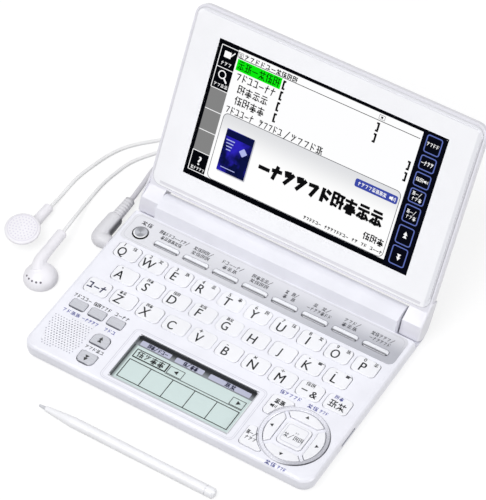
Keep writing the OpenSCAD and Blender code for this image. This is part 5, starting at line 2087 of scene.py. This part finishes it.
@dataclass(frozen=True)
class WritingWindow:
    """Picture in the sunk handwriting window, with its printed band, and painted shadow from and on the opening's
    walls.
    """

    sheet_edge: float = 1.5 * MM
    corner: float = 1.2 * MM
    corner_parts: int = 4
    rear_edge: Pair = (-0.6, 61.0)
    rear_wall: Pair = (-0.55, 58.6)
    left_edge: Pair = (-34.2, 24.6)
    left_wall: Pair = (-34.2, 23.6)
    edge_w: float = 0.3
    edge_out: float = 0.16
    front_edge: tuple[Bar, ...] = (Bar(-0.6, -47.4, 61.2, 0.7), Bar(30.0, -34.4, 0.5, 25.2))
    tab_ends: tuple[Pair, ...] = ((-29.1, -13.6), (-11.2, 3.3), (6.2, 27.3))
    tab_y: float = -24.0
    tab_high: float = 2.7
    tab_corner: float = 0.5
    pictures: tuple[Artwork, ...] = (
        # The band's dark rear part and window_shade are painted shadow of the opening's rear and left walls.
        Artwork("window_band", Paint.BAND, (Bar(-0.55, -23.6, 60.9, 4.9),)),
        Artwork("window_rim", Paint.WINDOW_RIM, (Bar(-0.55, -46.8, 60.9, 0.8), Bar(29.4, -36.6, 1.0, 21.1))),
        Artwork("window_shade", Paint.WINDOW_SHADE, (Bar(-30.2, -36.6, 1.7, 21.1),)),
    )
    tab_words: tuple[Marks, ...] = (
        Marks(-20.3, -24.0, 10.4, 2.1, "ddslll", 1, 0.2),
        Marks(-3.4, -24.0, 7.4, 2.2, "dsdd", 2, 0.2),
        Marks(17.0, -24.0, 5.6, 2.3, "dd", 4, 0.2),
    )
    cells_x: Pair = (-28.6, 28.0)
    cells_y: Pair = (-45.0, -33.9)
    cells: int = 5
    cell_frame: float = 0.42
    cell_line: float = 0.38
    upper_line: Point = (-11.4, -32.75, 0.34)
    buttons: tuple[Shape, ...] = (
        Frame(-20.1, -30.0, 17.0, 4.9, 0.45),
        Bar(-20.1, -32.35, 17.0, 0.5),
        Bar(-11.7, -30.0, 0.5, 4.9),
        Frame(-7.2, -30.2, 7.6, 4.4, 0.28),
        Frame(24.5, -30.2, 6.8, 4.4, 0.28),
        Triangle(-6.9, -30.1, 1.3, Facing.LEFT),
        Triangle(24.7, -30.1, 1.3, Facing.RIGHT),
        Marks(-20.3, -29.9, 14.0, 3.3, "dldd", 2, 0.13),
    )

    def walls(self) -> None:
        """Paints shadow on the opening's rear and left walls, their corner and the deck's edge there, and paler
        shade at the front and right.
        """
        deck = Plane.on_top("base_top_cover")
        sheet = Box("sub_touch_sheet")
        left, rear = sheet.low.x + self.sheet_edge, sheet.high.y - self.sheet_edge
        sunk, depth = (deck.origin.z + sheet.top) / 2 / MM, (deck.origin.z - sheet.top) / MM
        rear_wall = Plane(Vector((0, rear, 0)), X_AXIS, Z_AXIS)
        left_wall = Plane(Vector((left, 0, 0)), Y_AXIS, Z_AXIS)
        (rear_x, rear_l), (left_y, left_l) = self.rear_edge, self.left_edge
        (wall_x, wall_w), (wall_y, wall_l) = self.rear_wall, self.left_wall
        rear_bar = Bar(rear_x, rear / MM + self.edge_out, rear_l, self.edge_w)
        left_bar = Bar(left / MM - self.edge_out, left_y, self.edge_w, left_l)
        # Painted shadow on the rear and left walls and on the deck's edge above them.
        for name, ink, plane, bar in (
            ("window_edge_rear", Paint.WINDOW_SHADOW_DARK, deck, rear_bar),
            ("window_wall_rear", Paint.WINDOW_SHADOW_DARK, rear_wall, Bar(wall_x, sunk, wall_w, depth)),
            ("window_wall_left", Paint.WINDOW_SHADOW_GREY, left_wall, Bar(wall_y, sunk, wall_l, depth)),
            ("window_edge_left", Paint.WINDOW_SHADOW_GREY, deck, left_bar),
        ):
            Artwork(name, ink, (bar,)).put(plane, "base")
        centre = Vector((left + self.corner, rear - self.corner, 0))
        for i in range(self.corner_parts):
            self.corner_wall(i, centre, sunk, depth)
        # Paler painted shade along the deck's edge at the front and right of the opening.
        Artwork("window_edge_front", Paint.WINDOW_EDGE_SHADE, self.front_edge).put(deck, "base")

    def corner_wall(self, i: int, centre: Vector, sunk: float, depth: float) -> None:
        """Paints shadow on part i of the round corner between the walls.

        Args:
            i: Number of the part, from the left.
            centre: Centre of the corner's curve.
            sunk: Height of the wall's middle in millimetres.
            depth: Height of the wall in millimetres.
        """
        step = math.pi / 2 / self.corner_parts
        angles = (math.pi - i * step, math.pi - (i + 1) * step)
        start, end = (centre + self.corner * Vector((math.cos(angle), math.sin(angle), 0)) for angle in angles)
        plane = Plane((start + end) / 2, (end - start).normalized(), Z_AXIS)
        wall = Bar(0, sunk, (end - start).length / MM, depth)
        Artwork(f"window_corner_{i + 1}", Paint.WINDOW_SHADOW_DARK, (wall,)).put(plane, "base")

    def cell_lines(self) -> tuple[Shape, ...]:
        """Outline of the five writing cells, the lines between them and the line above.

        Returns:
            The shapes.
        """
        (left, right), (low, top) = self.cells_x, self.cells_y
        wide, high, y = right - left, top - low, (top + low) / 2
        between = [Bar(left + wide * i / self.cells, y, self.cell_line, high) for i in range(1, self.cells)]
        start, upper_y, thick = self.upper_line
        above = Bar((right + start) / 2, upper_y, right - start, thick)
        return Frame((right + left) / 2, y, wide, high, self.cell_frame), *between, above

    def build(self) -> None:
        """Draws the picture on the touch sheet."""
        self.walls()
        plane = Plane.on_top("sub_touch_sheet")
        tabs = tuple(
            Bar((start + end) / 2, self.tab_y, end - start, self.tab_high, self.tab_corner)
            for start, end in self.tab_ends
        )
        for art in (
            *self.pictures,
            Artwork("window_tabs", Paint.TAB, tabs, 2),
            Artwork("window_tab_marks", Paint.NIGHT_INK, self.tab_words, 3),
            Artwork("window_lines", Paint.CELL_LINE, (*self.cell_lines(), *self.buttons), 2),
        ):
            art.put(plane, "base")


@dataclass(frozen=True)
class ScreenPage:
    """Picture on the lid's screen: left tools, page and the right-hand touch keys.

    Places are in millimetres, to the right and up along the lid from the hinge line.
    """

    sink: float = 0.25 * MM
    rim_drop: float = 0.4 * MM
    # Painted shadow of the step round the lid's raised face.
    step_shadows: NodeArt = (
        ("lid_seam", Paint.STEP_SHADOW, (Bar(72.0, 53.7, 0.5, 78),)),
        ("lid_seam_light", Paint.STEP_SHADOW_LIGHT, (Bar(0, 10.55, 136, 1.3), Bar(-72.1, 53.7, 0.5, 78))),
    )
    glass_edge: Frame = Frame(-0.1, 53.15, 116.2, 66.5, 0.6)
    tool_x: Pair = (-56.4, -47.9)
    tool_edges: tuple[float, ...] = (84.1, 73.8, 63.6, 53.1, 42.7, 32.3, 22.6)
    tool_line: float = 0.34
    grey_cells: tuple[int, ...] = (2, 3, 4)
    outlined_cells: tuple[tuple[int, int], ...] = ((0, 2), (5, 6))
    tool_signs: tuple[Shape, ...] = (
        Bar(-52.6, 80.4, 3.4, 3.0),
        Bar(-50.4, 80.8, 0.5, 4.0, turn=-38),
        Marks(-52.2, 76.0, 5.6, 1.9, "lll", 2, 0.12),
        Ring(-52.6, 70.7, 2.0, 0.5),
        Stroke((-51.3, 69.3), (-49.8, 67.6), 0.8),
        Marks(-52.0, 65.6, 7.4, 1.7, "lldd", 1, 0.12),
        Word("?", -51.8, 28.2, 4.2, 0.3),
        Marks(-51.8, 24.2, 7.2, 1.7, "dllll", 3, 0.12),
    )
    page: tuple[float, float, float, float] = (-47.9, 45.8, 22.35, 84.75)
    sheet: tuple[float, float, float, float] = (-0.9, 38.7, 91.4, 32.6)
    sheet_line: float = 0.3
    sheet_corner: float = 2.6
    row_y: tuple[float, ...] = (78.1, 72.9, 67.6, 62.2, 56.9)
    header: tuple[Shape, ...] = (
        Bar(-0.9, 81.3, 92.2, 0.32),
        Frame(-46.3, 82.65, 2.5, 2.4, 0.2),
        Marks(-46.3, 82.65, 1.7, 1.7, "d", 3),
        Marks(-30.9, 82.75, 27.6, 2.4, "lllllldddd", 1, 0.17),
        Frame(25.7, 83.0, 3.0, 2.2, 0.18),
        Bar(25.7, 83.0, 1.0, 0.9),
    )
    list_rows: tuple[Marks, ...] = (
        Marks(-35.7, 72.9, 20.6, 4.0, "lllllll", 72, 0.12),
        Marks(-35.8, 67.6, 15.8, 4.0, "dddd", 67, 0.12),
        Marks(-35.8, 62.2, 15.6, 4.0, "dddd", 62, 0.12),
        Marks(-31.9, 56.9, 29.6, 3.6, "llllll lllll", 0, 0.12),
        Marks(-6.3, 56.9, 20.0, 3.8, "slllld", 2, 0.12),
    )
    brackets: tuple[tuple[float, int, int, int], ...] = ((-23.0, 0, 4, 1), (25.2, 0, 2, -1), (44.0, 2, 4, -1))
    title: tuple[Marks, ...] = (
        Marks(-4.9, 38.2, 37.8, 6.6, "llllll", 3, 0.28),
        Marks(27.0, 38.6, 26.4, 6.8, "dddd", 1, 0.2),
        Marks(38.4, 29.0, 10.6, 3.5, "ddd", 2, 0.15),
        Marks(24.0, 24.7, 40.4, 1.7, "llllll llllllll ll ll llll", 1, 0.2),
    )
    chosen_row: tuple[Artwork, ...] = (
        Artwork("screen_chosen_row", Paint.GREEN, (Bar(-35.7, 78.1, 23.0, 5.4),), 2),
        Artwork("screen_chosen_text", Paint.GREEN_INK, (Marks(-35.8, 78.1, 21.8, 4.2, "ddlddd", 5, 0.1),), 3),
    )
    badge: tuple[Artwork, ...] = (
        Artwork("screen_badge", Paint.BADGE, (Bar(33.1, 50.4, 21.4, 3.9, 0.9),), 3),
        Artwork(
            "screen_badge_marks",
            Paint.PAGE,
            (Marks(31.0, 50.4, 14.6, 2.0, "lllldddd", 2, 0.13), Loudspeaker(41.2, 50.4, 2.8)),
            4,
        ),
    )
    cover: tuple[Artwork, ...] = (
        Artwork("screen_cover_shadow", Paint.SHADOW, (Bar(-35.4, 37.9, 14.6, 20.6, 0.5),), 3),
        Artwork("screen_cover", Paint.COVER, (Bar(-35.8, 38.3, 14.3, 20.4),), 4),
        Artwork(
            "screen_cover_wedge",
            Paint.COVER_WEDGE,
            (Bar(-35.8, 46.6, 14.3, 3.2), Bar(-31.0, 33.2, 2.6, 8.6), Bar(-34.4, 31.4, 1.8, 5.0)),
            5,
        ),
        Artwork(
            "screen_cover_marks",
            Paint.COVER_PALE,
            (
                *(Bar(-39.8, 43.4 - i * 1.5, 4.4 - i * 0.7, 0.5) for i in range(4)),
                Bar(-37.6, 30.2, 7.4, 0.35),
                Bar(-32.4, 40.4, 3.0, 3.0, 0.3, 45),
            ),
            6,
        ),
    )
    strip: Bar = Bar(51.6, 52.9, 11.4, 65.4)
    strip_keys: tuple[Frame, ...] = tuple(
        Frame(51.8, y, 7.8, high + 0.1, 0.5, 1.2)
        for y, high in ((80.7, 8.3), (71.8, 6.8), (63.8, 6.6), (55.9, 6.7), (47.1, 8.4), (36.8, 8.9), (26.7, 9.0))
    )
    strip_marks: tuple[Shape, ...] = (
        Marks(51.7, 80.7, 6.2, 1.9, "llll", 1, 0.13),
        Marks(51.7, 71.8, 6.2, 2.2, "llll", 3, 0.13),
        Marks(50.6, 63.8, 3.8, 1.9, "dd", 2),
        Loudspeaker(53.6, 63.8, 1.9),
        Marks(51.5, 57.1, 4.8, 1.9, "dls", 4),
        Marks(51.9, 54.7, 5.0, 1.9, "lld", 2),
        Marks(51.5, 48.3, 4.8, 1.9, "dls", 4),
        Marks(51.9, 45.9, 5.0, 1.9, "lld", 2),
        Double(52.0, 37.0, 1.15, Facing.UP),
        Double(52.0, 26.5, 1.15, Facing.DOWN),
    )

    def step_shadow(self) -> None:
        """Paints the shadow of the step at the foot of the lid's raised face, darker along the right, and draws the
        glass's black edge.
        """
        plane = Plane.of_screen(self.rim_drop)
        for name, ink, shapes in self.step_shadows:
            Artwork(name, ink, shapes).put(plane, "lid")
        Artwork("glass_edge", Paint.GLASS, (self.glass_edge,)).put(Plane.of_screen(0), "lid")

    def tools(self) -> tuple[Artwork, Artwork]:
        """Column of tools at the left.

        Returns:
            The grey cells, and the lines and signs over them.
        """
        left, right = self.tool_x
        middle, wide, edges = (left + right) / 2, right - left, self.tool_edges
        cells = [((edges[i] + edges[i + 1]) / 2, edges[i] - edges[i + 1]) for i in self.grey_cells]
        sides = [((edges[i] + edges[k]) / 2, edges[i] - edges[k]) for i, k in self.outlined_cells]
        grey = tuple(Bar(middle, y, wide, high) for y, high in cells)
        lines = (
            *(Bar(middle, edge, wide, self.tool_line) for edge in edges),
            *(Bar(left, y, self.tool_line, high) for y, high in sides),
            *self.tool_signs,
        )
        under = Artwork("screen_grey_cells", Paint.PAGE_GREY, grey)
        return under, Artwork("screen_tool_lines", Paint.PAGE, lines, 2)

    def paper(self) -> tuple[Artwork, ...]:
        """White page, and the grey sheet in its lower part.

        Returns:
            The prints.
        """
        x0, x1, y0, y1 = self.page
        page = Bar((x0 + x1) / 2, (y0 + y1) / 2, x1 - x0, y1 - y0)
        sheet = Bar(*self.sheet, self.sheet_corner)
        edge = Frame(*self.sheet, self.sheet_line, self.sheet_corner)
        return (
            Artwork("screen_page", Paint.PAGE, (page,)),
            Artwork("screen_sheet", Paint.SHEET, (sheet,), 2),
            Artwork("screen_sheet_line", Paint.PAGE_LINE, (edge,), 3),
        )

    def bracket(self, x: float, y: float, side: int) -> tuple[Bar, ...]:
        """Square bracket whose arms point to one side."""
        return Bar(x, y, 0.95, 3.0), *(Bar(x + 0.3 * side, y + rise, 1.5, 0.9) for rise in (1.75, -1.75))

    def text(self) -> Artwork:
        """Header, list and title in made-up characters.

        Returns:
            The print.
        """
        brackets = [
            shape
            for x, first, last, side in self.brackets
            for y in self.row_y[first:last]
            for shape in self.bracket(x, y, side)
        ]
        return Artwork("screen_text", Paint.PAGE_INK, (*self.header, *self.list_rows, *brackets, *self.title), 4)

    def touch_keys(self) -> tuple[Artwork, ...]:
        """Strip of seven touch keys at the right.

        Returns:
            The prints.
        """
        return (
            Artwork("screen_strip", Paint.STRIP, (self.strip,)),
            Artwork("screen_strip_lines", Paint.STRIP_LINE, self.strip_keys, 2),
            Artwork("screen_strip_marks", Paint.PAGE, self.strip_marks, 3),
        )

    def build(self) -> None:
        """Draws the whole picture."""
        self.step_shadow()
        plane = Plane.of_screen(self.sink)
        lower = (*self.tools(), *self.paper(), self.text())
        for art in (*lower, *self.chosen_row, *self.badge, *self.cover, *self.touch_keys()):
            art.put(plane, "lid")


def finishes() -> dict[str, Finish]:
    """Finish of every carried-over node.

    Returns:
        The finish by the node's name.
    """
    power_middle, _ = Box("power_key").plan
    # Power key with painted highlights on its top and painted dark reflection on its rim.
    power = TurnedCap("power_metal", shade(186, 187, 194), shade(8, 8, 10), power_middle, 2.85 * MM)
    middle, half = Box("function_key_1").plan
    pitch = Box("function_key_2").middle.x - middle[0]
    # Silver keys with painted shade and dark reflection on their front and right flanks.
    pill = FlankShadedCap("key_silver", shade(240, 241, 246), shade(92, 92, 98), middle, half, pitch, foot=0.3)
    middle, half = Box("pad_ring").plan
    # Cursor pad ring with painted shade toward its right and along its outer edge.
    ring = TurnedRing("ring_silver", shade(226, 226, 234), shade(182, 182, 190), shade(56, 56, 64), middle, half[0])
    screen = Plane.of_screen(0)
    raised = math.atan2(screen.up.z, screen.up.y)
    hinge = screen.origin.y, screen.origin.z
    # The face is set whiter than the case as painted light for its weaker lighting; its grey slopes are painted
    # shade.
    lid = BevelledFace("lid_face", shade(252, 252, 255), shade(233, 233, 238), 69.3 * MM, 95.2 * MM, raised, hinge)
    groups = (
        (Paint.CASE, "base_bottom_cover base_top_cover"),
        (Paint.BARREL, "barrel_housing battery_cover"),
        (Paint.PANEL, "function_panel"),
        (Paint.CELL, "battery_cells"),
        (Paint.STEEL, "battery_contacts case_screws hinge_pins"),
        (Paint.BOARD, "main_board"),
        (Paint.MAT, "key_sheet"),
        (Paint.MODULE, "speaker main_display headphone_jack"),
        (Paint.GRILLE, "speaker_grille"),
        (grey_cap("page_up_grey", "page_up_key"), "page_up_key"),
        (grey_cap("page_down_grey", "page_down_key"), "page_down_key"),
        (grey_cap("small_key_grey", "small_key_1", 9.9 * MM), "small_key_1 small_key_2 small_key_3"),
        (Paint.LCD, "sub_display"),
        (Paint.FILM, "sub_touch_sheet"),
        (Paint.RUBBER, "rubber_feet"),
        (ring, "pad_ring"),
        (power, "power_key"),
        (pill, " ".join(f"function_key_{i}" for i in range(1, 9))),
        (Paint.KEY, "upper_letter_keys middle_letter_keys lower_letter_keys shift_key symbol_key delete_key"),
        (Paint.KEY, "voice_key back_key enter_key cursor_up_key cursor_right_key cursor_down_key cursor_left_key"),
        (Paint.LID, "lid_back_cover"),
        (lid, "lid_bezel"),
        (Paint.GLASS, "touch_panel"),
        (Paint.STYLUS, "stylus_barrel"),
        (Paint.BUD, "cord_split earbud_shells earbud_caps"),
        (Paint.PLUG, "plug_body"),
        (Paint.TIP, "stylus_tip"),
        (Paint.GOLD, "plug_shank"),
        (Paint.TIE, "cord_tie"),
        (Paint.THICK_CORD, "main_cord cord_coil"),
        (Paint.CORD, "branch_cords"),
    )
    return {node: finish for finish, nodes in groups for node in nodes.split()}


def dress() -> None:
    """Puts the finishes on the carried-over nodes."""
    for node, finish in finishes().items():
        for slot in FRAME["nodes"][node].material_slots:
            slot.material = Paint.of(finish)


def main() -> None:
    """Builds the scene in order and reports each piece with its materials."""
    logging.basicConfig(level=logging.INFO, format="%(name)s: %(message)s")
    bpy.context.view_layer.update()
    Studio().build()
    Earphones().build()
    dress()
    for part in (Keyboard(), SpeakerField(), FunctionPanel(), WritingWindow(), ScreenPage()):
        part.build()
    for piece in bpy.context.scene.objects:
        LOG.info("%s: %s", piece.name, ", ".join(slot.name for slot in piece.material_slots) or piece.type.lower())


if __name__ == "__main__":
    main()
